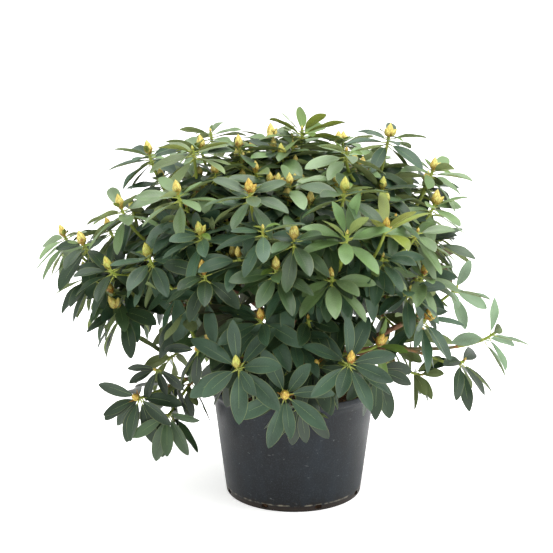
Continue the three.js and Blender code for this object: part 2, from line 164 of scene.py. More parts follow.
SMALL_LEAVES = 2  # beside a bud high up, only just unfolded
WHORL_PITCH = 0.0022  # from one leaf down to the next
OLD_PITCH = 0.005
SMALL_PITCH = 0.001
LEAF_LENGTH = 0.128  # with its stalk
LEAF_WIDTH = 0.0405
STALK_LENGTH = 0.014
STALK_RADIUS = 0.0018
LEAF_THICKNESS = 0.0006
OPENING_JITTER = 16
LEAF_TWIST = 66
LEAF_TRIES = 6
RETRY_TURN = 17
LOW_LEAVES = 0.4  # metres above the ground; only leaves below it can touch the pot
POT_CUT = 3  # cutting the pot is as bad as cutting this many leaves
SIDE_BUD_SHARE = 0.3
SIDE_BUD_LEAN = 0.75
INNER_BUDDED_SHARE = 0.65
BARE_MASSES = {"right_long_low", "right_long_high", "right_low"}  # without older leaves

# How the leaves of a spray stand, each trait from its youngest leaf to its oldest: the angle that a
# leaf stands off the shoot, its pull towards the ground, how much further its tip bends down, how far
# it leans out of the crown, its size, and how steeply it may lead upwards.
Habit = namedtuple("Habit", "opening pull tip_pull lean size ceiling")
HIGH_RISE = 55  # a mass has a habit between the next two, and from this rise on the second of them
LOW_HABIT = Habit((56, 98), (0.10, 0.50), (0.25, 0.80), (0.12, 0.22), (0.74, 1.00), (0.95, 0.95))
HIGH_HABIT = Habit((58, 104), (0.0, 0.16), (0.25, 0.60), (0.0, 0.0), (0.62, 0.92), (0.34, 0.02))
ERECT = Habit((50, 84), (0.0, 0.0), (0.2, 0.6), (0.0, 0.0), (0.70, 0.94), (0.8, 0.4))
YOUNG = Habit((22, 96), (0.0, 0.2), (0.1, 0.5), (0.0, 0.1), (0.68, 0.94), (1.0, 0.4))
FACING = Habit((60, 96), (0.0, 0.2), (0.1, 0.4), (0.0, 0.05), (0.74, 1.06), (0.95, 0.95))
HANGING = Habit((64, 104), (0.3, 0.8), (0.3, 0.8), (0.2, 0.3), (0.72, 0.98), (0.2, 0.0))
SPARSE = Habit((50, 96), (0.1, 0.5), (0.1, 0.4), (0.2, 0.3), (0.64, 0.90), (0.9, 0.4))
DRAPED = Habit((70, 100), (0.0, 1.3), (0.2, 0.8), (0.0, 0.1), (0.72, 1.0), (0.25, 0.0))
UPRIGHT = Habit((40, 76), (0.0, 0.0), (0.2, 0.5), (0.0, 0.0), (0.74, 0.98), (1.0, 0.5))
SMALL = Habit((52, 74), (0.0, 0.0), (0.2, 0.6), (0.0, 0.0), (0.26, 0.38), (1.0, 1.0))
OLD_HABIT = Habit((82, 106), (0.3, 0.6), (0.5, 1.0), (0.1, 0.2), (0.75, 1.0), (0.2, 0.0))
HANGING_MASSES = {"far_left", "left_low", "right_long_high"}

# Sprays that differ from the others of their mass: by colour, habit, number and scale of the leaves,
# the distance from one leaf down to the next, number of buds, how far they turn up, or their hue.
# The sprays given the shade colour sit deep inside the crown, and that colour paints their shade.
SPRAYS = {
    ("top", 0): dict(colour="young", habit=ERECT, buds=0),
    ("upper_left", 2): dict(buds=0),
    ("back_left", 0): dict(buds=0),
    ("right_shoulder", 1): dict(buds=2),
    ("right_shoulder", 3): dict(colour="fresh", habit=SPARSE, buds=0),
    ("upper_right", 0): dict(buds=3),
    ("right_middle", 0): dict(buds=0),
    ("right_middle", 1): dict(colour="grey"),
    ("front_middle", 0): dict(colour="mid"),
    ("front_upper_middle", 0): dict(buds=2),
    ("front_left", 3): dict(colour="shade", habit=HANGING, leaves=4, scale=0.75, buds=0),
    ("front_right", 0): dict(colour="fresh", habit=YOUNG, buds=0),
    ("front_right", 1): dict(colour="grey"),
    ("front_right_side", 0): dict(colour="yellowish", habit=UPRIGHT, leaves=7),
    ("front_right_side", 1): dict(colour="grey"),
    ("front_low_left", 0): dict(colour="rosette", habit=FACING, leaves=10, buds=1, upturn=0.75, hue="lime"),
    ("front_low_left", 4): dict(colour="old", buds=0),
    ("front_low_middle", 0): dict(colour="rosette", habit=FACING, leaves=7, buds=1),
    ("front_low_middle", 1): dict(colour="deep", habit=DRAPED, buds=1),
    ("front_low_middle", 2): dict(colour="shade", habit=DRAPED, buds=0),
    ("front_low_middle", 3): dict(colour="shade", habit=OLD_HABIT, leaves=6, scale=0.9, buds=0),
    ("front_low_right", 0): dict(colour="rosette", habit=FACING, leaves=10, buds=1, upturn=0.75, hue="gold"),
    ("front_low_right", 1): dict(colour="young", habit=SPARSE, leaves=6, scale=0.75, buds=2),
    ("front_low_right", 3): dict(colour="deep", habit=DRAPED, buds=0),
    ("low_left", 0): dict(colour="deep", habit=DRAPED, buds=1),
    ("low_left", 1): dict(colour="mid", habit=DRAPED, leaves=8, buds=0),
    ("low_left", 2): dict(colour="shade", habit=HANGING, leaves=6, scale=0.7, buds=0),
    ("right_long_low", 0): dict(colour="pale", habit=SPARSE, leaves=8, pitch=0.006, buds=0),
    ("right_long_low", 1): dict(colour="deep", habit=HANGING, leaves=8, buds=0),
    ("right_long_high", 0): dict(colour="pale", habit=SPARSE, leaves=7, buds=0),
    ("right_low", 0): dict(colour="deep", leaves=9, scale=0.75, buds=0),
    ("right_low", 1): dict(colour="deep", scale=0.8, buds=0),
}

# The looks of leaves: a name, the upper side's colour, the underside's, the upper side's sheen, and the
# shares of the low sprays and of the high ones that have it. Those without shares are for SPRAYS, for
# older leaves and for the small ones beside a bud.
LOOKS = [
    ("deep", (33, 51, 31), (100, 114, 70), 0.30, 0.44, 0.04),
    ("mid", (51, 73, 42), (124, 138, 86), 0.50, 0.26, 0.20),
    ("grey", (84, 107, 65), (144, 156, 104), 0.66, 0.04, 0.42),
    ("blue", (48, 71, 51), (122, 138, 92), 0.34, 0.26, 0.10),
    ("olive", (82, 100, 50), (140, 148, 80), 0.70, 0.00, 0.24),
    # shade: a darker copy of the greens, painted shade for leaves deep inside the crown.
    ("shade", (29, 43, 28), (92, 104, 64), 0.40, 0, 0),
    ("old", (56, 58, 42), (104, 92, 72), 0.40, 0, 0),
    ("rosette", (49, 69, 52), (92, 108, 66), 0.24, 0, 0),
    ("fresh", (92, 118, 72), (120, 134, 74), 0.34, 0, 0),
    ("pale", (94, 116, 88), (122, 136, 100), 0.40, 0, 0),
    ("young", (74, 98, 34), (134, 144, 62), 0.40, 0, 0),
    ("yellowish", (100, 112, 40), (122, 128, 58), 0.40, 0, 0),
]
# Of last year's leaves and of those from the year before, in the lower part of the crown and above. Low down
# last year's leaves take the shade look, which is painted shade, and high up they take lighter greens, which
# is partly painted light.
LOW_OLD_LOOKS = ("shade", "old")
HIGH_OLD_LOOKS = ("blue", "mid")
HIGH_OLD_LEAVES = 0.62  # metres above the ground
# High up the paler, glossier looks are dealt out and low down the darker ones. This paints the light on the
# crown's top and the shade below it, besides the leaves' own spread of colour.
HIGH_SPRAY = (0.64, 0.92)  # metres above the ground: from the low sprays' looks to the high ones'

BUD_HUES = {  # the colours of the scales and of their warm patches
    "yellow": ((204, 196, 108), (194, 166, 76)),
    "gold": ((192, 172, 76), (178, 128, 48)),
    "lime": ((178, 184, 88), (184, 172, 76)),
}
GOLD_BUDS_BELOW = 0.5
HIGH_BUD_HUES = (0.60, 0.78)  # the draws up to which a bud is yellow and gold; the rest are lime
LOW_BUD_HUES = (0.15, 0.85)
TIP_BUD_SIZE = 0.32  # of the leaf bud on a shoot that won't flower
INNER_BUD_SIZE = 0.85  # of the flower buds inside the crown, to those on the outer shoots
SIDE_BUD_SIZE = 0.75  # of one beside another

UP = np.array([0.0, 0.0, 1.0])
FLARE_FOOT = POT_HEIGHT - LIP_BAND - LIP_FLARE

# ---------------- small tools


def mix(low, high, share):
    return low + (high - low) * share


def share_between(low, high, value):
    """How far a value is on its way from low to high, from 0 to 1."""
    return min(1, max(0, (value - low) / (high - low)))


def unit(vector):
    return vector / math.sqrt(float(vector @ vector))


def units(vectors):
    return vectors / np.linalg.norm(vectors, axis=1)[:, None]


def chance(a, b):
    """A number from 0 to 1 that depends only on the two given ones: whose draw it is, and which."""
    value = math.sin(a * 12.9898 + b * 78.233) * 43758.5453
    return value - math.floor(value)


def draw(span, a, b):
    """A number from this span that depends only on the two others, as chance() does."""
    return mix(*span, chance(a, b))


def direction(azimuth, rise):
    flat = math.cos(math.radians(rise))
    turn = math.radians(azimuth)
    return np.array([flat * math.cos(turn), flat * math.sin(turn), math.sin(math.radians(rise))])


def rotated(vector, axis, angle):
    """vector turned about a unit axis."""
    across = np.cross(axis, vector)
    along = axis * float(axis @ vector)
    return along + (vector - along) * math.cos(angle) + across * math.sin(angle)


def circle(sides):
    return np.linspace(0, 2 * math.pi, sides, endpoint=False)


class Path:
    """A cubic curve through space, for a limb or a shoot."""

    def __init__(self, *knots):
        self.knots = np.array(knots)

    def at(self, share):
        t = np.atleast_1d(np.asarray(share, float))[:, None]
        a, b, c, d = self.knots
        rest = 1 - t
        places = rest**3 * a + 3 * rest**2 * t * b + 3 * rest * t**2 * c + t**3 * d
        return places if np.ndim(share) else places[0]

    def tangent(self, share):
        a, b, c, d = self.knots
        rest = 1 - share
        return unit(rest**2 * (b - a) + 2 * rest * share * (c - b) + share**2 * (d - c))

    def split(self, share):
        a, b, c, d = self.knots
        ab, bc, cd = mix(a, b, share), mix(b, c, share), mix(c, d, share)
        abc, bcd = mix(ab, bc, share), mix(bc, cd, share)
        middle = mix(abc, bcd, share)
        return Path(a, ab, abc, middle), Path(middle, bcd, cd, d)

    def length(self):
        return float(np.linalg.norm(np.diff(self.at(np.linspace(0, 1, 33)), axis=0), axis=1).sum())


def limb_path(start, leaving, end, arriving):
    """It leaves one way, arrives another way and bows smoothly in between."""
    handle = float(np.linalg.norm(end - start)) / 3
    return Path(start, start + leaving * handle, end - arriving * handle, end)


def into_scene(name, data):
    thing = bpy.data.objects.new(name, data)
    bpy.context.scene.collection.objects.link(thing)
    return thing


class Heap:
    """Points and faces gathered for one joined mesh, with a material number for each face."""

    def __init__(self):
        self.points, self.places, self.count = [], [], 0
        self.faces = {4: [], 3: []}
        self.slots = {4: [], 3: []}

    def add(self, points, faces, slot=0, places=None):
        """Only blades have places: how far across and along its leaf each of their points is."""
        points = np.reshape(points, (-1, 3))
        corners = faces.shape[1]
        self.faces[corners].append(faces + self.count)
        self.slots[corners].append(np.full(len(faces), slot))
        self.points.append(points)
        if places is not None:
            self.places.append(places)
        self.count += len(points)

    def build(self, name, materials, smooth=True):
        faces = [face for group in self.faces[4] + self.faces[3] for face in group.tolist()]
        mesh = bpy.data.meshes.new(name)
        mesh.from_pydata(np.concatenate(self.points), [], faces, shade_flat=not smooth)
        mesh.polygons.foreach_set("material_index", np.concatenate(self.slots[4] + self.slots[3]))
        if self.places:
            corners = [corner for face in faces for corner in face]
            layer = mesh.uv_layers.new(name="LeafPlace")
            layer.uv.foreach_set("vector", np.concatenate(self.places)[corners].ravel())
        mesh.validate()
        for material in materials:
            mesh.materials.append(material)
        return into_scene(name, mesh)


def grid_faces(rows, columns, closed=False, flipped=False):
    """Quads between neighbouring points of a grid; a closed one joins its last column to its first."""
    index = np.arange(rows * columns).reshape(rows, columns)
    if closed:
        index = np.hstack([index, index[:, :1]])
    quads = np.stack([index[:-1, :-1], index[:-1, 1:], index[1:, 1:], index[1:, :-1]], axis=2).reshape(-1, 4)
    return quads[:, [0, 3, 2, 1]] if flipped else quads


def fan_faces(sides, flipped=False):
    """Triangles from a ring of points to the point that follows them."""
    ring = np.arange(sides)
    fan = np.stack([ring, np.roll(ring, -1), np.full(sides, sides)], axis=1)
    return fan[:, ::-1] if flipped else fan


def add_rings(heap, rings, middles, slot=0):
    """A skin over rings of points, closed at both ends around the first and the last middle."""
    sides = len(rings[0])
    heap.add(rings, grid_faces(len(rings), sides, closed=True), slot)
    heap.add([*rings[0], middles[0]], fan_faces(sides, flipped=True), slot)
    heap.add([*rings[-1], middles[-1]], fan_faces(sides), slot)


def frames_along(points):
    """Two crosswise unit vectors at each point of a line, turning as little as they can."""
    ahead = units(np.gradient(points, axis=0))
    helper = np.array([1.0, 0, 0]) if abs(ahead[0][0]) < 0.8 else np.array([0, 1.0, 0])
    rights = [unit(np.cross(ahead[0], helper))]
    for way in ahead[1:]:
        rights.append(unit(rights[-1] - way * float(rights[-1] @ way)))
    return np.array(rights), np.cross(ahead, rights)


def add_tube(heap, points, radii, sides, slot=0, relief=1.0):
    """A tube along a line of points; relief scales its radii along and around it."""
    rights, fronts = frames_along(points)
    turns = circle(sides)[None, :, None]
    ring = np.cos(turns) * rights[:, None] + np.sin(turns) * fronts[:, None]
    radii = np.reshape(radii, (-1, 1)) * relief
    add_rings(heap, points[:, None] + ring * radii[:, :, None], points, slot)


def turned(profile, sides):
    """A profile of (radius, height) pairs turned about Z: a ring of points for each of them."""
    radii, heights = np.array(profile).T[:, :, None]
    turns = circle(sides)
    heights = np.repeat(heights, sides, axis=1)
    return np.stack([radii * np.cos(turns), radii * np.sin(turns), heights], axis=2)


# ---------------- materials


class Nodes:
    """Short ways to set up a node material around its main shader."""

    def __init__(self, name):
        self.material = bpy.data.materials.new(name)
        self.material.use_nodes = True
        self.tree = self.material.node_tree
        self.shader = self.tree.nodes["Principled BSDF"]

    def feed(self, node, inputs):
        """Give a node's sockets values, colours or other nodes' outputs."""
        for key, value in inputs.items():
            socket = node.inputs[key]
            if isinstance(value, bpy.types.NodeSocket):
                self.tree.links.new(value, socket)
            else:
                socket.default_value = (*value, 1) if socket.type == "RGBA" else value

    def add(self, kind, inputs, **settings):
        node = self.tree.nodes.new("ShaderNode" + kind)
        for key, value in settings.items():
            setattr(node, key, value)
        self.feed(node, inputs)
        return node

    def place(self):
        return self.add("TexCoord", {}).outputs["Object"]

    def noise(self, scale, detail=3.0, roughness=0.55, stretch=None):
        """A cloudy pattern; a small stretch draws it out along that axis."""
        place = self.place()
        if stretch:
            place = self.add("Mapping", {"Vector": place, "Scale": stretch}).outputs["Vector"]
        inputs = {"Vector": place, "Scale": scale, "Detail": detail, "Roughness": roughness}
        return self.add("TexNoise", inputs).outputs["Fac"]

    def maths(self, operation, first, second=0.0, clamp=False):
        return self.add("Math", {0: first, 1: second}, operation=operation, use_clamp=clamp).outputs[0]

    def times(self, first, second):
        return self.maths("MULTIPLY", first, second)

    def ramp(self, value, *stops):
        """A colour ramp; stops are (place, colour) pairs, with the colour as linear() gives it."""
        node = self.add("ValToRGB", {"Fac": value})
        steps = node.color_ramp.elements
        while len(steps) < len(stops):
            steps.new(0.5)
        for step, (place, colour) in zip(steps, stops):
            step.position = place
            step.color = (*colour, 1)
        return node.outputs["Color"]

    def shades(self, value, places, *colours):
        """A colour ramp of sRGB colours."""
        return self.ramp(value, *[(place, linear(*colour)) for place, colour in zip(places, colours)])

    def span(self, value, low, high, from_low=0.0, from_high=1.0):
        """The value between two bounds, brought to between low and high."""
        inputs = {"Value": value, "From Min": from_low, "From Max": from_high, "To Min": low, "To Max": high}
        return self.add("MapRange", inputs).outputs["Result"]

    def blend(self, share, first, second):
        return self.add("Mix", {"Factor": share, 6: first, 7: second}, data_type="RGBA").outputs[2]

    def finish(self, colour, roughness, specular, height, strength, distance):
        """Dress the shader in a colour and a bump, and hand over the material."""
        bump = self.add("Bump", {"Height": height, "Strength": strength, "Distance": distance})
        self.feed(self.shader, {"Base Color": colour, "Roughness": roughness,
                                "Specular IOR Level": specular, "Normal": bump.outputs["Normal"]})
        return self.material


def linear(red, green, blue):
    """A colour given in 0 to 255 sRGB steps, as the shaders take it."""
    shares = [value / 255 for value in (red, green, blue)]
    return tuple(s / 12.92 if s <= 0.04045 else ((s + 0.055) / 1.055) ** 2.4 for s in shares)


def scaled(colour, factor):
    return tuple(min(1.0, value * factor) for value in colour)


SIDE_VEINS = 13.0  # in each half of a blade
VEIN_SWEEP = 5.0  # how far they would lead forward over a blade's whole width, in distances between two


def leaf_veins(nodes):
    """Side veins that sweep forward from the midrib, 1 on a vein and 0 between two."""
    place = nodes.add("UVMap", {}, uv_map="LeafPlace").outputs["UV"]
    split = nodes.add("SeparateXYZ", {"Vector": place})
    from_midrib = nodes.maths("ABSOLUTE", nodes.maths("SUBTRACT", split.outputs["X"], 0.5))
    along = nodes.times(split.outputs["Y"], SIDE_VEINS)
    swept = nodes.maths("SUBTRACT", along, nodes.times(from_midrib, VEIN_SWEEP))
    return nodes.span(nodes.maths("PINGPONG", swept, 0.5), 0.0, 1.0, 0.36, 0.5), from_midrib


def leaf_top_material(name, colour, sheen):
    """Leathery green in soft clouds, finely speckled, with pale veins and a thin pale rim that is a painted
    highlight along the edge.
    """
    nodes = Nodes(name)
    veins, from_midrib = leaf_veins(nodes)
    darker, paler = scaled(colour, 0.72), scaled(colour, 1.30)
    tone = nodes.ramp(nodes.noise(11.0, 2.0), (0.33, darker), (0.50, colour), (0.68, paler))
    speckles = nodes.span(nodes.noise(240.0, 2.0), 0.0, 0.35, 0.5, 0.75)
    speckled = nodes.blend(speckles, tone, scaled(colour, 1.4))
    veined = nodes.blend(nodes.times(veins, 0.16), speckled, scaled(colour, 1.6))
    # The pale rim along the blade's edge is a painted highlight, standing in for the light caught by the
    # edge.
    edge_highlighted = nodes.blend(nodes.span(from_midrib, 0.0, 0.40, 0.460, 0.49), veined, linear(132, 140, 84))
    height = nodes.maths("ADD", nodes.times(veins, -0.6), nodes.noise(420.0, 2.0))
    return nodes.finish(edge_highlighted, nodes.span(nodes.noise(34.0), 0.30, 0.50), sheen, height, 0.45, 0.0007)


def leaf_under_material(name, colour):
    nodes = Nodes(name)
    veins, _ = leaf_veins(nodes)
    tone = nodes.ramp(nodes.noise(13.0, 2.0), (0.3, scaled(colour, 0.8)), (0.7, scaled(colour, 1.15)))
    veined = nodes.blend(nodes.times(veins, 0.35), tone, scaled(colour, 1.35))
    return nodes.finish(veined, 0.72, 0.3, veins, 0.5, 0.0008)


def stalk_material(name, colour, rust):
    """A cloudy colour with fine upright lines and with patches of this much rust."""
    nodes = Nodes(name)
    patches = nodes.span(nodes.noise(55.0), 0.0, 1.0, 0.56, 0.70)
    tone = nodes.ramp(nodes.noise(18.0, 2.0), (0.3, scaled(colour, 0.75)), (0.7, scaled(colour, 1.2)))
    rusty = nodes.blend(nodes.times(patches, rust), tone, linear(150, 96, 50))
    return nodes.finish(rusty, 0.55, 0.4, nodes.noise(700.0, 2.0, stretch=(1, 1, 0.2)), 0.3, 0.0005)


def bud_material(name, colour, warm):
    nodes = Nodes(name)
    tone = nodes.ramp(nodes.noise(95.0, 2.0), (0.32, scaled(colour, 0.82)), (0.52, colour), (0.74, warm))
    return nodes.finish(tone, 0.48, 0.45, nodes.noise(650.0, 2.0, stretch=(1, 1, 0.25)), 0.3, 0.0006)


def bark_material():
    nodes = Nodes("bark")
    grain = nodes.noise(34.0, 5.0, 0.65, stretch=(1, 1, 0.22))
    flakes = nodes.noise(90.0, 4.0, 0.6)
    tone = nodes.shades(grain, (0.30, 0.52, 0.72), (58, 40, 32), (112, 80, 62), (150, 118, 92))
    flaky = nodes.blend(nodes.span(flakes, 0.0, 0.7, 0.55, 0.72), tone, linear(128, 112, 92))
    return nodes.finish(flaky, 0.88, 0.2, nodes.maths("ADD", grain, flakes), 0.6, 0.002)


FOOT_DIRT = (0.0125, 0.0155)  # the ragged top of the dirt that is caked on the pot's foot
FOOT_SMUDGES = (0.018, 0.042)  # and of the thinner dirt over it
WORN_LINE = 0.0170  # the height of a line that is rubbed pale
WORN_WIDTH = 0.0030


def pot_material():
    """Moulded black plastic, scuffed and dusty, with a worn line and dried splashes near its foot."""
    nodes = Nodes("pot_plastic")
    height = nodes.add("SeparateXYZ", {"Vector": nodes.place()}).outputs["Z"]
    ragged = nodes.maths("ADD", height, nodes.span(nodes.noise(60.0, 4.0), -0.0025, 0.0025))
    streaks = nodes.noise(26.0, 5.0, 0.6, stretch=(1, 1, 0.12))
    dust = nodes.noise(7.0, 4.0, 0.6)
    specks = nodes.noise(310.0, 2.0)
    scuffs = nodes.noise(190.0, 2.0, 0.5, stretch=(0.35, 0.35, 1.0))
    base = nodes.shades(streaks, (0.35, 0.55, 0.75), (8, 11, 15), (12, 17, 22), (21, 28, 35))
    look = nodes.blend(nodes.span(dust, 0.0, 0.45, 0.46, 0.80), base, linear(34, 43, 51))
    look = nodes.blend(nodes.span(specks, 0.0, 0.40, 0.50, 0.74), look, linear(46, 54, 60))
    look = nodes.blend(nodes.span(scuffs, 0.0, 0.5, 0.70, 0.78), look, linear(104, 108, 108))
    blots = nodes.span(nodes.noise(75.0, 4.0), 0.0, 1.0, 0.48, 0.60)
    smudges = nodes.times(nodes.span(ragged, 1.0, 0.0, *FOOT_SMUDGES), blots)
    look = nodes.blend(smudges, look, linear(14, 11, 9))
    caked = nodes.blend(nodes.noise(150.0, 4.0), linear(15, 11, 8), linear(42, 32, 25))
    look = nodes.blend(nodes.span(ragged, 1.0, 0.0, *FOOT_DIRT), look, caked)
    off_line = nodes.maths("DIVIDE", nodes.maths("SUBTRACT", ragged, WORN_LINE), WORN_WIDTH)
    worn = nodes.maths("SUBTRACT", 1.0, nodes.maths("ABSOLUTE", off_line), clamp=True)
    rubbed = nodes.span(nodes.noise(48.0, 4.0), 0.0, 1.0, 0.44, 0.62)
    look = nodes.blend(nodes.times(worn, rubbed), look, linear(118, 112, 98))
    grain = nodes.maths("ADD", nodes.times(streaks, 0.5), nodes.noise(300.0))
    return nodes.finish(look, nodes.span(dust, 0.40, 0.58, 0.3, 0.75), 0.22, grain, 0.30, 0.0010)


def soil_material():
    nodes = Nodes("soil_mulch")
    crumbs = nodes.noise(140.0, 5.0, 0.65)
    tone = nodes.shades(crumbs, (0.32, 0.52, 0.72), (26, 18, 13), (62, 44, 31), (104, 76, 52))
    return nodes.finish(tone, 0.95, 0.15, nodes.noise(260.0, 4.0), 0.8, 0.003)


def chip_material():
    nodes = Nodes("bark_chips")
    grain = nodes.noise(60.0, 4.0, 0.6)
    tone = nodes.shades(grain, (0.30, 0.50, 0.72), (52, 33, 22), (98, 64, 42), (148, 108, 74))
    return nodes.finish(tone, 0.9, 0.2, nodes.noise(380.0, stretch=(1, 0.2, 1)), 0.6, 0.001)


# ---------------- stage, camera and light

CAMERA_PLACE = (0.0, -3.6, 1.45)
CAMERA_DOWN = 13.789  # degrees below level
CAMERA_LEFT = 0.705
LENS_PIXELS = 1463  # the focal length, in pixels of the picture
PICTURE_WIDTH = 553
SENSOR = 36.0
FLOOR_REACH = 60.0
FLOOR_GLOW = 0.48  # the white floor is lit from inside, so that the plant's shadow on it is faint
SKY_STRENGTH = 1.22
# The lamps' names, places, what they aim at, the width of their discs and their power in watts.
LAMPS = [
    ("overhead", (0.4, -0.4, 5.0), (0, 0, 0.5), 6.0, 385),
    ("right_side", (3.6, -0.6, 2.0), (0, 0, 0.4), 2.0, 52),
]


def make_camera():
    data = bpy.data.cameras.new("camera")
    data.sensor_width = SENSOR
    data.lens = SENSOR * LENS_PIXELS / PICTURE_WIDTH
    camera = into_scene("camera", data)
    camera.location = CAMERA_PLACE
    camera.rotation_euler = (math.radians(90 - CAMERA_DOWN), 0, math.radians(CAMERA_LEFT))
    bpy.context.scene.camera = camera


def make_floor():
    corners = [(x * FLOOR_REACH, y * FLOOR_REACH, 0) for x, y in ((-1, -1), (1, -1), (1, 1), (-1, 1))]
    heap = Heap()
    heap.add(corners, np.array([(0, 1, 2, 3)]))
    nodes = Nodes("floor")
    tone = nodes.ramp(nodes.noise(1.5, 2.0), (0.3, (0.93, 0.93, 0.93)), (0.7, (0.96, 0.96, 0.96)))
    nodes.feed(nodes.shader, {"Base Color": tone, "Roughness": 0.9, "Specular IOR Level": 0.1,
                              "Emission Color": (1, 1, 1), "Emission Strength": FLOOR_GLOW})
    heap.build("floor", [nodes.material])


def make_light():
    world = bpy.data.worlds.new("world")
    world.use_nodes = True
    sky = world.node_tree.nodes["Background"]
    sky.inputs["Color"].default_value = (1, 1, 1, 1)
    sky.inputs["Strength"].default_value = SKY_STRENGTH
    bpy.context.scene.world = world
    for name, place, aim, size, power in LAMPS:
        data = bpy.data.lights.new(name, "AREA")
        data.shape = "DISK"
        data.size = size
        data.energy = power
        lamp = into_scene(name, data)
        lamp.location = place
        lamp.rotation_euler = (Vector(aim) - Vector(place)).to_track_quat("-Z", "Y").to_euler()
    bpy.context.scene.view_settings.view_transform = "Standard"


# ---------------- the plant's limbs

Limb = namedtuple("Limb", "name rise reach shoots spread turn index bough stem radius outward")
STEM_PATH = limb_path(np.array([-STEM_LEAN, 0, SOIL_LEVEL + CLEAR]), UP, np.array([0, 0, FORK_HEIGHT]), UP)


def upturned(name, outward):
    """The way a shoot's tip points: outward, turned towards straight up."""
    if name in TURNED_TIPS:
        return direction(*TURNED_TIPS[name])
    steepness = share_between(FLAT_RISE, FULL_RISE, math.degrees(math.asin(outward[2])))
    return unit(mix(outward, UP, SHOOT_UPTURN * steepness))


def lay_out():
    """Where each mass leads to, and the way its bough goes there."""
    limbs = {}
    for index, (name, parent_name, azimuth, rise, reach, shoots, spread, turn) in enumerate(MASSES):
        outward = direction(azimuth, rise)
        bud = CROWN_MIDDLE + outward * reach
        parent = limbs.get(parent_name)
        if parent:
            fork = draw(BOUGH_FORKS, index, 1)
            start = parent.bough.at(fork)
            leaving = unit(mix(unit(bud - start), parent.bough.tangent(fork), SIDE_BOUGH_ONWARD))
        else:
            steepness = share_between(0, 90, rise)
            start = STEM_PATH.at(mix(*STEM_FORKS, steepness))
            leaving = unit(mix(direction(azimuth, 0), UP, mix(*LEADER_LIFT, steepness)))
        bough, stem = limb_path(start, leaving, bud, upturned(name, outward)).split(BOUGH_SHARE)
        radius = SIDE_BOUGH_RADIUS if parent else LEADER_RADIUS
        limbs[name] = Limb(name, rise, reach, shoots, spread, turn, index, bough, stem, radius, outward)
    return limbs


def shoot_direction(limb, k):
    """The directions of a mass's shoots fan out around its leading one."""
    east = unit(np.cross(UP, limb.outward))
    north = np.cross(limb.outward, east)
    turn = math.radians(limb.turn + (k - 1) * GOLDEN_ANGLE)
    spread = limb.spread if k < limb.shoots else max(LEAST_SPREAD, limb.spread * INNER_SPREAD)
    tilt = math.radians(spread * draw(SPREAD_RANGE, limb.index, 20 + k))
    fan = east * math.cos(turn) + north * math.sin(turn)
    if k >= limb.shoots:
        fan = unit(fan + north * INNER_LIFT)
    return limb.outward * math.cos(tilt) + fan * math.sin(tilt)


def shoot_path(limb, k):
    """The first shoot leads on from the bough, and the others fork off from it."""
    if k == 0:
        return limb.stem
    if k < limb.shoots:
        reaches = SHOOT_REACH
        share = mix(*SHOOT_FORKS, (k - 1) / limb.shoots)
    else:
        reaches = STEEP_INNER_REACH if limb.rise > HIGH_RISE else INNER_REACH
        share = draw(INNER_FORKS, limb.index, 35 + k)
    outward = shoot_direction(limb, k)
    bud = CROWN_MIDDLE + outward * (limb.reach * draw(reaches, limb.index, 30 + k))
    start = limb.stem.at(share)
    leaving = unit(mix(limb.stem.tangent(share), unit(bud - start), SHOOT_DIVERGENCE))
    return limb_path(start, leaving, bud, upturned(limb.name, outward))


def inner_shoots(limb):
    usual = next((count for least, count in INNER_SHOOTS if limb.rise >= least), 0)
    return OWN_INNER_SHOOTS.get(limb.name, usual)


# ---------------- leaves

LEAF_STATIONS = np.array([0, 0.035, 0.10, 0.20, 0.32, 0.44, 0.56, 0.68, 0.79, 0.885, 0.955, 1.0])
LEAF_COLUMNS = np.array([-1, -0.52, 0, 0.52, 1.0])
COARSE_STATIONS = np.array([0.10, 0.4, 0.7, 1.0])
COARSE_COLUMNS = np.array([-0.8, 0.0, 0.8])
BLADE_FACES = grid_faces(len(LEAF_STATIONS), len(LEAF_COLUMNS))
UNDER_FACES = grid_faces(len(LEAF_STATIONS), len(LEAF_COLUMNS), flipped=True)
COARSE_FACES = grid_faces(len(COARSE_STATIONS), len(COARSE_COLUMNS)).tolist()
BLADE_PLACES = np.stack(np.meshgrid((LEAF_COLUMNS + 1) / 2, LEAF_STATIONS), axis=2).reshape(-1, 2)
STALK_SHARE = STALK_LENGTH / LEAF_LENGTH
STALK_TAPER = np.array([1.3, 1.0, 0.85, 0.5])  # from the shoot to where it runs out under the blade
MIDLINE_STEPS = 24
BLADE_OUTLINE = (0.86, 0.76)  # its powers towards the root and towards the tip
BLADE_ARCH = 0.22  # how far a half of the blade arches back down towards its edge
FOLDS = (0.24, 0.70)  # how steeply the halves rise from the midrib
WAVES = (0.0004, 0.0022)  # how far the edge swings up and down
DROOPS = (0.7, 1.3)  # how far the tip bends down, of what the habit says
WAVE_TURN = (9.0, 1.7)  # radians of the swing from root to tip and from midrib to edge
WAVE_STARTS = (0, 6.28)
LEAF_ROOT = 0.6  # how far out from the shoot's middle a stalk starts, of its radius
RIB_STATIONS = 8
RIB_FACES = grid_faces(RIB_STATIONS, 3)
RIB_WIDTH = 0.0009  # half of it, at the blade's foot
RIB_TIP = 0.25  # of that width, where it runs out
RIB_RISE = (0.00022, 0.0007)  # over the upper skin and under the lower one
RIB_LIFT = 0.00005  # of its edges over the upper skin
RIB_SINK = 0.9  # how deep its edges on the underside lie in the blade


def spindle(shares, low_power, high_power):
    """A bulge from 0 over 1 back to 0, with its widest place nearer the end of the smaller power."""
    peak = low_power / (low_power + high_power)
    return shares**low_power * (1 - shares) ** high_power / (peak**low_power * (1 - peak) ** high_power)


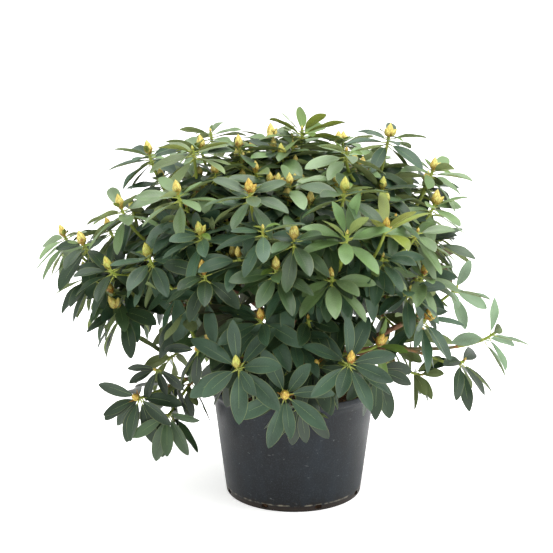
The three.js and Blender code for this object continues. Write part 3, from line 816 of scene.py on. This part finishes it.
class Leaf(namedtuple("Leaf", "root outward side droop size fold wave phase")):
    """One leaf's place and shape: a stalk, then a blade that bends towards the ground."""

    def midline(self, shares):
        """Points along the whole leaf at shares of its length, with the way ahead at each."""
        fine = np.linspace(0, 1, MIDLINE_STEPS + 1)
        ways = units(self.outward[None, :] - UP[None, :] * (self.droop * fine**1.3)[:, None])
        steps = (ways[1:] + ways[:-1]) / 2 * (LEAF_LENGTH * self.size / MIDLINE_STEPS)
        places = np.vstack([self.root, self.root + np.cumsum(steps, axis=0)])
        points = np.stack([np.interp(shares, fine, places[:, i]) for i in range(3)], axis=1)
        return points, units(np.stack([np.interp(shares, fine, ways[:, i]) for i in range(3)], axis=1))

    def blade(self, stations, columns):
        """The upper skin of the blade as a grid, with its upward normals at the midrib."""
        points, ahead = self.midline(STALK_SHARE + stations * (1 - STALK_SHARE))
        sides = units(self.side[None, :] - ahead * (ahead @ self.side)[:, None])
        uppers = np.cross(ahead, sides)
        width = spindle(stations, *BLADE_OUTLINE)
        half = width * LEAF_WIDTH / 2 * self.size
        across = half[:, None] * columns[None, :]
        away = np.abs(columns)
        rise = half[:, None] * (self.fold * away - BLADE_ARCH * away**2)[None, :]
        swing = np.sin(stations[:, None] * WAVE_TURN[0] + self.phase + columns[None, :] * WAVE_TURN[1])
        rise = rise + self.wave * self.size * swing * away[None, :] ** 2 * width[:, None]
        grid = points[:, None] + sides[:, None] * across[..., None] + uppers[:, None] * rise[..., None]
        return grid, uppers

    def coarse(self):
        """A coarse copy of the blade, to test what it cuts through, and its middle."""
        points = self.blade(COARSE_STATIONS, COARSE_COLUMNS)[0].reshape(-1, 3)
        return BVHTree.FromPolygons(points.tolist(), COARSE_FACES), points.mean(axis=0)


def add_leaf(leaf, blades, stalks, ribs):
    """The blade's two skins, its stalk and its midrib each go to a heap of their own kind."""
    grid, uppers = leaf.blade(LEAF_STATIONS, LEAF_COLUMNS)
    thin = (1 - np.abs(LEAF_COLUMNS) ** 3)[None, :] * (np.sin(math.pi * LEAF_STATIONS) ** 0.3)[:, None]
    blades.add(grid, BLADE_FACES, 0, BLADE_PLACES)
    blades.add(grid - uppers[:, None] * (LEAF_THICKNESS * thin)[..., None], UNDER_FACES, 1, BLADE_PLACES)
    line, _ = leaf.midline(np.array([0.0, STALK_SHARE * 0.5, STALK_SHARE, STALK_SHARE + 0.07]))
    line[2:] -= uppers[0] * LEAF_THICKNESS
    add_tube(stalks, line, STALK_TAPER * STALK_RADIUS * leaf.size, 5)
    if ribs is not None:
        add_midrib(leaf, grid, uppers, ribs)


def add_midrib(leaf, grid, uppers, ribs):
    """A slim ridge along the middle of the blade, on both faces, which thins out towards the tip."""
    middle, up = grid[:RIB_STATIONS, 2], uppers[:RIB_STATIONS]
    beside = unit(grid[3, 3] - grid[3, 1])
    width = np.linspace(1.0, RIB_TIP, RIB_STATIONS)[:, None] * RIB_WIDTH * leaf.size * beside
    over, below = middle + up * RIB_LIFT, middle - up * LEAF_THICKNESS * RIB_SINK
    ribs.add(np.stack([over - width, middle + up * RIB_RISE[0], over + width], axis=1), RIB_FACES, 0)
    crest = middle - up * (LEAF_THICKNESS + RIB_RISE[1])
    ribs.add(np.stack([below + width, crest, below - width], axis=1), RIB_FACES, 1)


class Crowd:
    """The blades that are placed so far, to keep a new one from cutting through them."""

    def __init__(self):
        profile = [(POT_FOOT_RADIUS, 0), (POT_NECK_RADIUS, FLARE_FOOT), (POT_LIP_RADIUS, POT_HEIGHT),
                   (POT_NECK_RADIUS, SOIL_LEVEL), (0.01, SOIL_LEVEL)]
        rings = turned(profile, 32)
        faces = grid_faces(*rings.shape[:2], closed=True)
        self.pot = BVHTree.FromPolygons(rings.reshape(-1, 3).tolist(), faces.tolist())
        self.trees, self.middles = [], []

    def cuts(self, tree, middle):
        """How many blades a new one would cut through; the pot counts as several."""
        away = np.linalg.norm(np.reshape(self.middles, (-1, 3)) - middle, axis=1)
        near = np.nonzero(away < LEAF_LENGTH * 1.1)[0]
        in_pot = middle[2] < LOW_LEAVES and tree.overlap(self.pot)
        return sum(1 for i in near if tree.overlap(self.trees[i])) + (POT_CUT if in_pot else 0)


def habit_of(limb):
    """The leaves' usual habit in a mass, between that of a low one and that of a high one."""
    share = share_between(0, HIGH_RISE, limb.rise)
    return Habit(*(mix(np.array(low), np.array(high), share) for low, high in zip(LOW_HABIT, HIGH_HABIT)))


class Whorl(namedtuple("Whorl", "limb tip axis seed count habit first pitch scale")):
    """Leaves round a stretch of a shoot: the youngest at its tip, the oldest lowest down."""

    def leaf(self, leaf, attempt):
        """The place and bearing of one leaf."""
        seed, axis, habit = self.seed, self.axis, self.habit
        level = unit(np.cross(UP, axis))
        around = math.radians(360 * chance(seed, 40) + leaf * GOLDEN_ANGLE + attempt * RETRY_TURN)
        radial = level * math.cos(around) + np.cross(axis, level) * math.sin(around)
        out = unit(self.limb.outward * np.array([1, 1, 0]) + 1e-9)
        age = leaf / max(1, self.count - 1)
        jitter = OPENING_JITTER * (chance(seed, 50 + leaf) - 0.5)
        opened = math.radians(mix(*habit.opening, age) + jitter)
        outward = axis * math.cos(opened) + radial * math.sin(opened)
        outward = unit(outward - UP * mix(*habit.pull, age) + out * mix(*habit.lean, age))
        outward[2] = min(outward[2], mix(*habit.ceiling, age))
        outward = unit(outward)
        side = np.cross(axis, radial)
        side = unit(side - outward * float(side @ outward))
        side = rotated(side, outward, math.radians(LEAF_TWIST * (chance(seed, 90 + leaf + attempt) - 0.5)))
        size = mix(*habit.size, 0.5 * min(1, 2 * age) + 0.5 * chance(seed, 60 + leaf)) * self.scale
        droop = mix(*habit.tip_pull, age) * draw(DROOPS, seed, 110 + leaf)
        root = self.tip - axis * (self.first + leaf * self.pitch) + radial * SHOOT_RADIUS * LEAF_ROOT
        fold, wave = draw(FOLDS, seed, 130 + leaf), draw(WAVES, seed, 150 + leaf)
        return Leaf(root, outward, side, droop, size, fold, wave, draw(WAVE_STARTS, seed, 170 + leaf))

    def grow(self, crowd):
        """Each leaf is turned about the shoot until it cuts through no other, or as few as it can."""
        grown = []
        for leaf in range(self.count):
            best = None
            for attempt in range(LEAF_TRIES):
                candidate = self.leaf(leaf, attempt)
                tree, middle = candidate.coarse()
                cuts = crowd.cuts(tree, middle)
                if best is None or cuts < best[0]:
                    best = (cuts, candidate, tree, middle)
                if cuts == 0:
                    break
            grown.append(best[1])
            crowd.trees.append(best[2])
            crowd.middles.append(best[3])
        return grown


# ---------------- buds

BUD_OUTLINE = (0.50, 1.0)  # its powers towards the foot and towards the tip
BUD_RINGS = 9
BUD_SIDES = 10
BUD_CORE = 0.95  # its radius, of the scales'
BUD_SCALES = 16
SCALE_ACROSS = np.array([-1, -0.76, 0, 0.76, 1])
SCALE_UP = np.linspace(0, 1, 6)
# Of the lowest scale and of the topmost: where it starts and how high it is, in the bud's height, and
# half of its width, in radians.
SCALE_FEET = (-0.02, 0.52)
SCALE_HEIGHTS = (0.34, 0.50)
SCALE_HALVES = (0.95, 0.80)
FOOT_SCALES = 0.22  # the share of the scales, from the foot up, that are brownest
TIP_SCALES = 0.78  # the share from which they are a little warmer again
FOOT_SLOT, BODY_SLOT, TIP_SLOT, RIM_SLOT = range(4)
BRACTS = 6
BRACT_LENGTHS = (0.012, 0.024)
BRACT_CURLS = (0.3, 1.3)
BRACT_WIDTH = 0.0042
BRACT_ROOT = 0.0048
ASKEW = np.array([0.3, 0.9, 0.1])  # a direction along which no shoot grows


def bud_radius(height):
    """A plump spindle: its radius at a share of its height."""
    return BUD_RADIUS * spindle(np.clip(height, 1e-6, 1), *BUD_OUTLINE)


def add_bud(heap, tip, axis, size, seed):
    """A core wrapped in scales that overlap upwards, each with a fine pointed tip that stands off."""
    level = unit(np.cross(axis, ASKEW))
    other = np.cross(axis, level)

    def spot(height, turn, radius):
        ring = np.cos(turn)[..., None] * level + np.sin(turn)[..., None] * other
        return tip + axis * (height * BUD_LENGTH * size)[..., None] + ring * radius[..., None]

    height, turn = np.meshgrid(np.linspace(0, 1, BUD_RINGS), circle(BUD_SIDES), indexing="ij")
    core = spot(height, turn, bud_radius(height) * size * BUD_CORE + 1e-5)
    heap.add(core, grid_faces(BUD_RINGS, BUD_SIDES, closed=True), BODY_SLOT)
    across, up = np.meshgrid(SCALE_ACROSS, SCALE_UP, indexing="ij")
    faces = grid_faces(len(SCALE_ACROSS), len(SCALE_UP), flipped=True)
    strip = np.arange(len(faces)) // (len(SCALE_UP) - 1)
    on_rim = (strip == 0) | (strip == len(SCALE_ACROSS) - 2)
    for scale in range(BUD_SCALES):
        share = scale / (BUD_SCALES - 1)
        turn = math.radians(scale * GOLDEN_ANGLE + 360 * chance(seed, 3))
        half = mix(*SCALE_HALVES, share) * (1 - up**2.4) ** 0.8 * mix(0.75, 1.0, np.minimum(1, up * 3))
        height = mix(*SCALE_FEET, share**0.9) + up * mix(*SCALE_HEIGHTS, share)
        lift = 0.0004 + 0.0009 * up**3 * (1.2 - share) + 0.0003 * (1 - across**2)
        radius = (bud_radius(np.minimum(height, 0.985)) + lift) * size
        patch = spot(np.minimum(height, 1.06), turn + across * half, radius)
        slot = FOOT_SLOT if share < FOOT_SCALES else (TIP_SLOT if share > TIP_SCALES else BODY_SLOT)
        heap.add(patch, faces, np.where(on_rim, RIM_SLOT, slot))


def add_bracts(heap, tip, axis, seed):
    """Narrow loose bracts that curl away below the bud."""
    level = unit(np.cross(axis, ASKEW))
    shares = np.linspace(0, 1, 5)
    for bract in range(BRACTS):
        turn = math.radians(bract * 360 / BRACTS + 90 * chance(seed, 210 + bract))
        radial = rotated(level, axis, turn)
        length = draw(BRACT_LENGTHS, seed, 220 + bract)
        out = BRACT_ROOT + shares**1.6 * draw(BRACT_CURLS, seed, 230 + bract) * length * 0.7
        up = shares * length * 0.8 - 0.002
        line = tip + radial * out[:, None] + axis * up[:, None]
        half = BRACT_WIDTH / 2 * (shares + 0.35) ** 0.3 * (1 - shares**2.5)
        side = np.cross(axis, radial) * half[:, None]
        heap.add(np.stack([line - side, line + radial * 0.0004, line + side], axis=1), grid_faces(5, 3))


def bud_hue(height, lot):
    """Which of the buds' hues a spray gets: mostly yellow high up and gold low down."""
    shares = LOW_BUD_HUES if height < GOLD_BUDS_BELOW else HIGH_BUD_HUES
    return list(BUD_HUES)[sum(lot > share for share in shares)]


def add_buds(heaps, limb, k, own, tip, axis, seed):
    """A flower bud on the end of a shoot, now and then with smaller ones beside it, or a leaf bud."""
    outer = k < limb.shoots
    heap = heaps["flower_buds_" + own.get("hue", bud_hue(tip[2], chance(seed, 240)))]
    flowers = k == 0 or chance(limb.index, 80 + k) < (BUDDED_SHARE if outer else INNER_BUDDED_SHARE)
    count = own.get("buds", 1 + (chance(seed, 250) < SIDE_BUD_SHARE) if flowers else 0)
    if count == 0:
        add_bud(heap, tip, axis, TIP_BUD_SIZE, seed)
        return
    size = draw(BUD_SIZES, limb.index, 70 + k) * (1.0 if outer else INNER_BUD_SIZE)
    add_bud(heap, tip, axis, size, seed)
    add_bracts(heap, tip, axis, seed)
    aside = unit(np.cross(np.array([0.0, 1.0, 0.1]), axis))
    for beside in range(count - 1):
        turn = math.pi * beside + draw((-0.8, 0.8), seed, 251 + beside)
        lean = unit(axis + SIDE_BUD_LEAN * rotated(aside, axis, turn))
        add_bud(heap, tip - axis * 0.003 + lean * 0.004, lean, size * SIDE_BUD_SIZE, seed + 1 + beside)


# ---------------- the whole crown


def add_shoot(heaps, path, thick):
    """The last year's growth is green; what is older is brown and a little thicker."""
    fresh = max(0.0, 1 - (YEAR_GROWTH + FIRST_LEAF) / path.length())
    shares = np.linspace(fresh, 1, 9)
    radii = mix(SHOOT_RADIUS * SHOOT_FOOT, SHOOT_RADIUS, (shares - fresh) / (1 - fresh)) * thick
    radii[-1] *= BUD_SEAT
    green = heaps["green_shoots"]
    add_tube(green, path.at(shares), radii, SHOOT_SIDES, 0)
    joint = path.at(np.linspace(max(0, fresh - 0.012), min(1, fresh + 0.02), len(YEAR_JOINT)))
    add_tube(green, joint, SHOOT_RADIUS * thick * YEAR_JOINT, SHOOT_SIDES, 1)
    if fresh > 0.02:
        shares = np.linspace(0, fresh + 0.01, 9)
        radii = mix(OLD_SHOOT_FOOT, OLD_SHOOT_TIP, shares / fresh)
        add_tube(heaps["older_shoots"], path.at(shares), radii, SHOOT_SIDES)


def dealt_look(limb, k, height):
    """The look of a spray's leaves where SPRAYS doesn't say. The paler looks dealt out high up and the
    darker ones low down are partly painted light and shade.
    """
    high = share_between(*HIGH_SPRAY, height)
    lot = chance(limb.index * 3 + 1, 300 + k)
    for name, *_, low_share, high_share in LOOKS:
        share = mix(low_share, high_share, high)
        if lot < share:
            return name
        lot -= share
    return LOOKS[0][0]


class Crown:
    """All shoots, leaves and buds, in one heap for each piece."""

    def __init__(self):
        self.crowd = Crowd()
        self.heaps = defaultdict(Heap)
        self.owners = defaultdict(set)  # the masses in which each look of leaves is found

    def add_whorl(self, look, whorl, ribs=None):
        for leaf in whorl.grow(self.crowd):
            add_leaf(leaf, self.heaps[f"leaves_{look}"], self.heaps["leaf_stalks"], ribs)
        self.owners[look].add(whorl.limb.name)

    def add_spray(self, limb, k, path):
        """A shoot with its buds and this year's leaves."""
        own = SPRAYS.get((limb.name, k), {})
        seed = limb.index * 11 + k
        tip, axis = path.at(1.0), path.tangent(1.0)
        look = own.get("colour", dealt_look(limb, k, tip[2]))
        add_shoot(self.heaps, path, FRESH_SHOOT if look == "fresh" else 1.0)
        upward = unit(mix(axis, UP, own.get("upturn", BUD_UPTURN)))
        add_buds(self.heaps, limb, k, own, tip, upward, seed)
        count = own.get("leaves", WHORL_LEAVES if k < limb.shoots else INNER_LEAVES)
        habit = own.get("habit", HANGING if limb.name in HANGING_MASSES else habit_of(limb))
        pitch, scale = own.get("pitch", WHORL_PITCH), own.get("scale", 1.0)
        whorl = Whorl(limb, tip, axis, seed, count, habit, FIRST_LEAF, pitch, scale)
        self.add_whorl(look, whorl, self.heaps["leaf_midribs"])
        if k < limb.shoots and tip[2] > HIGH_SPRAY[0] and "colour" not in own:
            small = Whorl(limb, tip, axis, seed + 900, SMALL_LEAVES, SMALL, 0.0, SMALL_PITCH, 1.0)
            self.add_whorl("young", small)

    def add_old_leaves(self, limb, k, path):
        """What is left of the leaves of the years before, on the older stretches of a shoot."""
        length = path.length()
        looks = HIGH_OLD_LOOKS if path.at(1.0)[2] > HIGH_OLD_LEAVES else LOW_OLD_LOOKS
        for year, (look, count) in enumerate(zip(looks, OLD_WHORL_LEAVES), 1):
            if length < YEAR_GROWTH * (year + 0.2) or limb.name in BARE_MASSES:
                break
            share = 1 - YEAR_GROWTH * year / length
            place = path.at(share), path.tangent(share), limb.index * 11 + k + 500 * year
            self.add_whorl(look, Whorl(limb, *place, count, OLD_HABIT, 0.0, OLD_PITCH, 1.0))


def finish_piece(piece, slot, *nodes):
    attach(piece, "root")
    if nodes:
        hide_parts(*nodes)


def make_leaves(crown):
    for name, top, under, sheen, _, _ in LOOKS:
        materials = [leaf_top_material(f"leaf_{name}", linear(*top), sheen),
                     leaf_under_material(f"leaf_{name}_under", linear(*under))]
        piece = crown.heaps[f"leaves_{name}"].build(f"leaves_{name}", materials)
        finish_piece(piece, "foliage", *[f"foliage_{owner}" for owner in sorted(crown.owners[name])])


def make_buds(crown):
    for name, hues in BUD_HUES.items():
        pale, warm = (linear(*hue) for hue in hues)
        between = tuple(mix(a, b, 0.5) for a, b in zip(pale, warm))
        materials = [bud_material(f"bud_{name}_foot", scaled(warm, 0.75), linear(122, 74, 38)),
                     bud_material(f"bud_{name}_scale", pale, warm),
                     bud_material(f"bud_{name}_tip", between, warm),
                     bud_material(f"bud_{name}_rim", scaled(warm, 0.62), linear(126, 84, 42))]
        piece = crown.heaps[f"flower_buds_{name}"].build(f"flower_buds_{name}", materials)
        finish_piece(piece, "foliage")


def make_stalks(crown, name, slot, *looks):
    """A piece with the skin of stalks; each look is a material's name, its colour and its share of rust."""
    materials = [stalk_material(look, linear(*colour), rust) for look, colour, rust in looks]
    finish_piece(crown.heaps[name].build(name, materials), slot)


def make_crown(limbs):
    crown = Crown()
    shoots = [(limb, k) for limb in limbs.values() for k in range(limb.shoots + inner_shoots(limb))]
    for limb, k in shoots:
        crown.add_spray(limb, k, shoot_path(limb, k))
    for limb, k in shoots:
        crown.add_old_leaves(limb, k, shoot_path(limb, k))
    make_leaves(crown)
    make_stalks(crown, "leaf_stalks", "foliage", ("stalk", (142, 152, 68), 0.2))
    make_stalks(crown, "leaf_midribs", "foliage",
                ("midrib", (100, 120, 72), 0.0), ("midrib_under", (140, 150, 92), 0.0))
    make_buds(crown)
    make_stalks(crown, "green_shoots", "foliage",
                ("green_shoot", (128, 142, 56), 0.3), ("year_joint", (122, 86, 52), 0.7))
    make_stalks(crown, "older_shoots", "bark", ("older_shoot", (94, 86, 52), 0.9))


# ---------------- bark

RIDGE_ROUND = 1.6  # how fast the ridges change around a limb, upwards and sideways
RIDGE_RISE = 14
RIDGE_SLANT = 9
RIDGE_FINENESS = 2.1
KNOT_STEP = 0.31  # how fast the knots change from one ring to the next
BOUGH_RINGS = 26
BOUGH_SIDES = 14
BOUGH_RELIEF = 0.12  # how far its radius swells and sinks, of itself
TRUNK_RINGS = 30
TRUNK_SIDES = 40
TRUNK_RELIEF = 0.10


def bark_relief(points, sides, seed, depth):
    """How much a limb's radius swells and sinks along and around it, in long ridges and in knots."""
    relief = np.ones((len(points), sides))
    for i, point in enumerate(points):
        for j, turn in enumerate(circle(sides)):
            along = point[2] * RIDGE_RISE + point[0] * RIDGE_SLANT + seed
            spot = Vector((math.cos(turn) * RIDGE_ROUND, math.sin(turn) * RIDGE_ROUND, along))
            knots = noise.noise(Vector((seed, i * KNOT_STEP, turn)))
            relief[i, j] += depth * (noise.noise(spot * RIDGE_FINENESS) + 0.5 * knots)
    return relief


def make_wood(limbs):
    bark = bark_material()
    boughs, trunk = Heap(), Heap()
    shares = np.linspace(0, 1, BOUGH_RINGS)
    for limb in limbs.values():
        points = limb.bough.at(shares)
        radii = mix(limb.radius, BOUGH_TIP_RADIUS, shares**BOUGH_TAPER)
        relief = bark_relief(points, BOUGH_SIDES, limb.index * 1.7, BOUGH_RELIEF)
        add_tube(boughs, points, radii, BOUGH_SIDES, 0, relief)
    finish_piece(boughs.build("boughs", [bark]), "bark", *[f"bough_{name}" for name in limbs])
    shares = np.linspace(0, 1, TRUNK_RINGS)
    points = STEM_PATH.at(shares)
    radii = mix(STEM_RADIUS, FLARE_RADIUS, (1 - shares) ** 3)
    add_tube(trunk, points, radii, TRUNK_SIDES, 0, bark_relief(points, TRUNK_SIDES, 31.0, TRUNK_RELIEF))
    finish_piece(trunk.build("trunk", [bark]), "bark", "main_stem")


# ---------------- pot and soil

POT_SIDES = 144
CRISP_ANGLE = 40  # degrees; the pot's edges that turn by more stay crisp
DRAIN_SQUARENESS = 0.6  # the power that turns its round outline into a rounded oblong
SOIL_SIDES = 96
SOIL_RINGS = 26
SOIL_LUMPS = [(38, 0.3, 0.0022), (120, 4.0, 0.0012)]  # fineness, level in the noise and height
SOIL_SINK = 0.001  # brings the lumps down to about the top of the solid
SOIL_RIM = 0.012  # the ring along the pot's wall that the chips stay out of
CHIP_LIFT = 0.0012
CHIPS = 420
CHIP_LENGTH = (0.006, 0.020)
CHIP_THICKNESS = (0.0010, 0.0026)
CHIP_CORNERS = 6
CHIP_RAGGEDNESS = (0.7, 1.1)  # its corners' distances from its middle, to an even outline's


def pot_outside(height):
    return mix(POT_FOOT_RADIUS, POT_NECK_RADIUS, height / FLARE_FOOT)


def rounded(before, corner, after, radius):
    """A corner of a profile, rounded off."""
    first = corner + unit(before - corner) * radius
    last = corner + unit(after - corner) * radius
    shares = np.linspace(0, 1, 5)[:, None]
    return (1 - shares) ** 2 * first + 2 * (1 - shares) * shares * corner + shares**2 * last


def pot_profile():
    inner_lip, inner_rise = POT_LIP_RADIUS - POT_WALL, FLARE_FOOT + POT_WALL * math.tan(math.pi / 8)
    corners = np.array([  # radius, height and rounding, from the middle of the underside up and back in
        (0, 0, 0), (POT_FOOT_RADIUS, 0, 0.003), (POT_NECK_RADIUS, FLARE_FOOT, 0.010),
        (POT_LIP_RADIUS, FLARE_FOOT + LIP_FLARE, 0.008), (POT_LIP_RADIUS, POT_HEIGHT, 0.0013),
        (inner_lip, POT_HEIGHT, 0.0013), (inner_lip, inner_rise + LIP_FLARE, 0.006),
        (POT_NECK_RADIUS - POT_WALL, inner_rise, 0.008), (POT_FOOT_RADIUS - POT_WALL, POT_FLOOR, 0.004),
        (0, POT_FLOOR, 0),
    ])
    places = corners[:, :2]
    bends = [rounded(*places[i - 1:i + 2], corners[i, 2]) for i in range(1, len(corners) - 1)]
    wall = [(pot_outside(height), height) for height in np.linspace(0.03, FLARE_FOOT - 0.03, 8)]
    return np.vstack([places[:1], bends[0], wall, *bends[1:], places[-1:]])


def drain_cutter(k):
    """The rings and end middles of the block that cuts one drain hole through the pot's foot."""
    out = direction(DRAIN_FIRST - 90 + k * 360 / DRAIN_HOLES, 0)
    beside = np.cross(UP, out)
    round_ring = np.stack([np.cos(circle(24)), np.sin(circle(24))], axis=1)
    oblong = np.sign(round_ring) * np.abs(round_ring) ** DRAIN_SQUARENESS
    ring = oblong @ np.array([beside * DRAIN_WIDTH / 2, UP * DRAIN_HEIGHT / 2])
    middle = out * POT_FOOT_RADIUS + UP * (DRAIN_SILL + DRAIN_HEIGHT / 2)
    ends = [middle - out * DRAIN_DEPTH / 2, middle + out * DRAIN_DEPTH / 2]
    return [end + ring for end in ends], ends


def weld(piece):
    """Join the points that lie on each other, so that the skin is closed."""
    shape = bmesh.new()
    shape.from_mesh(piece.data)
    bmesh.ops.remove_doubles(shape, verts=shape.verts, dist=1e-6)
    bmesh.ops.dissolve_degenerate(shape, edges=shape.edges, dist=1e-6)
    bmesh.ops.recalc_face_normals(shape, faces=shape.faces)
    shape.to_mesh(piece.data)
    shape.free()


def make_pot():
    heap, cutters = Heap(), Heap()
    profile = pot_profile()
    heap.add(turned(profile, POT_SIDES), grid_faces(len(profile), POT_SIDES, closed=True))
    pot = heap.build("nursery_pot", [pot_material()])
    for k in range(DRAIN_HOLES):
        add_rings(cutters, *drain_cutter(k))
    cutter = cutters.build("drain_cutter", [], smooth=False)
    weld(cutter)
    weld(pot)
    cut = pot.modifiers.new("drains", "BOOLEAN")
    cut.object = cutter
    cut.operation = "DIFFERENCE"
    cut.solver = "EXACT"
    bpy.context.view_layer.update()
    cut_mesh = bpy.data.meshes.new_from_object(pot.evaluated_get(bpy.context.evaluated_depsgraph_get()))
    pot.modifiers.clear()
    pot.data = cut_mesh
    bpy.data.objects.remove(cutter)
    cut_mesh.shade_smooth()
    cut_mesh.set_sharp_from_angle(angle=math.radians(CRISP_ANGLE))
    finish_piece(pot, "pot", "pot")


def soil_height(x, y):
    """The domed top of the compost, with lumps."""
    far = math.hypot(x, y) / (POT_NECK_RADIUS - POT_WALL)
    lumps = sum(noise.noise(Vector((x * fine, y * fine, level))) * high for fine, level, high in SOIL_LUMPS)
    return SOIL_LEVEL - SOIL_DOME * min(1, far) ** 2 + lumps - SOIL_SINK


def make_soil():
    floor = POT_FLOOR + CLEAR
    foot, radius = (pot_outside(h) - POT_WALL - SOIL_CLEAR for h in (floor, SOIL_LEVEL - SOIL_DOME))
    top = [(radius * ring / SOIL_RINGS, 0) for ring in range(SOIL_RINGS, -1, -1)]
    rings = turned([(0, floor), (foot, floor)] + top, SOIL_SIDES)
    for point in rings[2:].reshape(-1, 3):
        point[2] = soil_height(point[0], point[1])
    heap, chips = Heap(), Heap()
    heap.add(rings, grid_faces(len(rings), SOIL_SIDES, closed=True))
    finish_piece(heap.build("potting_compost", [soil_material()]), "soil", "potting_soil")
    for i in range(CHIPS):
        reach = (radius - SOIL_RIM) * math.sqrt(mix(0.05, 1, chance(i, 1)))
        turn = 2 * math.pi * chance(i, 2)
        x, y = reach * math.cos(turn), reach * math.sin(turn)
        length = mix(*CHIP_LENGTH, chance(i, 3) ** 1.5)
        add_chip(chips, np.array([x, y, soil_height(x, y) + CHIP_LIFT]), length, i)
    finish_piece(chips.build("bark_mulch", [chip_material()], smooth=False), "soil")


def add_chip(heap, middle, length, seed):
    """A flat splinter of bark with a ragged outline."""
    turn = math.pi * chance(seed, 5)
    ahead = np.array([math.cos(turn), math.sin(turn), 0.5 * (chance(seed, 6) - 0.5)])
    beside = np.array([-math.sin(turn), math.cos(turn), 0.6 * (chance(seed, 7) - 0.5)])
    thick = unit(np.cross(ahead, beside)) * draw(CHIP_THICKNESS, seed, 8)
    corners = []
    for i, angle in enumerate(circle(CHIP_CORNERS)):
        ragged = draw(CHIP_RAGGEDNESS, seed, 10 + i)
        along, across = math.cos(angle) * length / 2 * ragged, math.sin(angle) * length / 4 * ragged
        corners.append(ahead * along + beside * across)
    corners = np.array(corners)
    rings = [middle + corners - thick / 2, middle + corners * 0.92 + thick / 2]
    add_rings(heap, rings, [middle - thick / 2, middle + thick * 0.6])


# ---------------- the assembly

make_camera()
make_floor()
make_light()
LIMBS = lay_out()
make_pot()
make_soil()
make_wood(LIMBS)
make_crown(LIMBS)
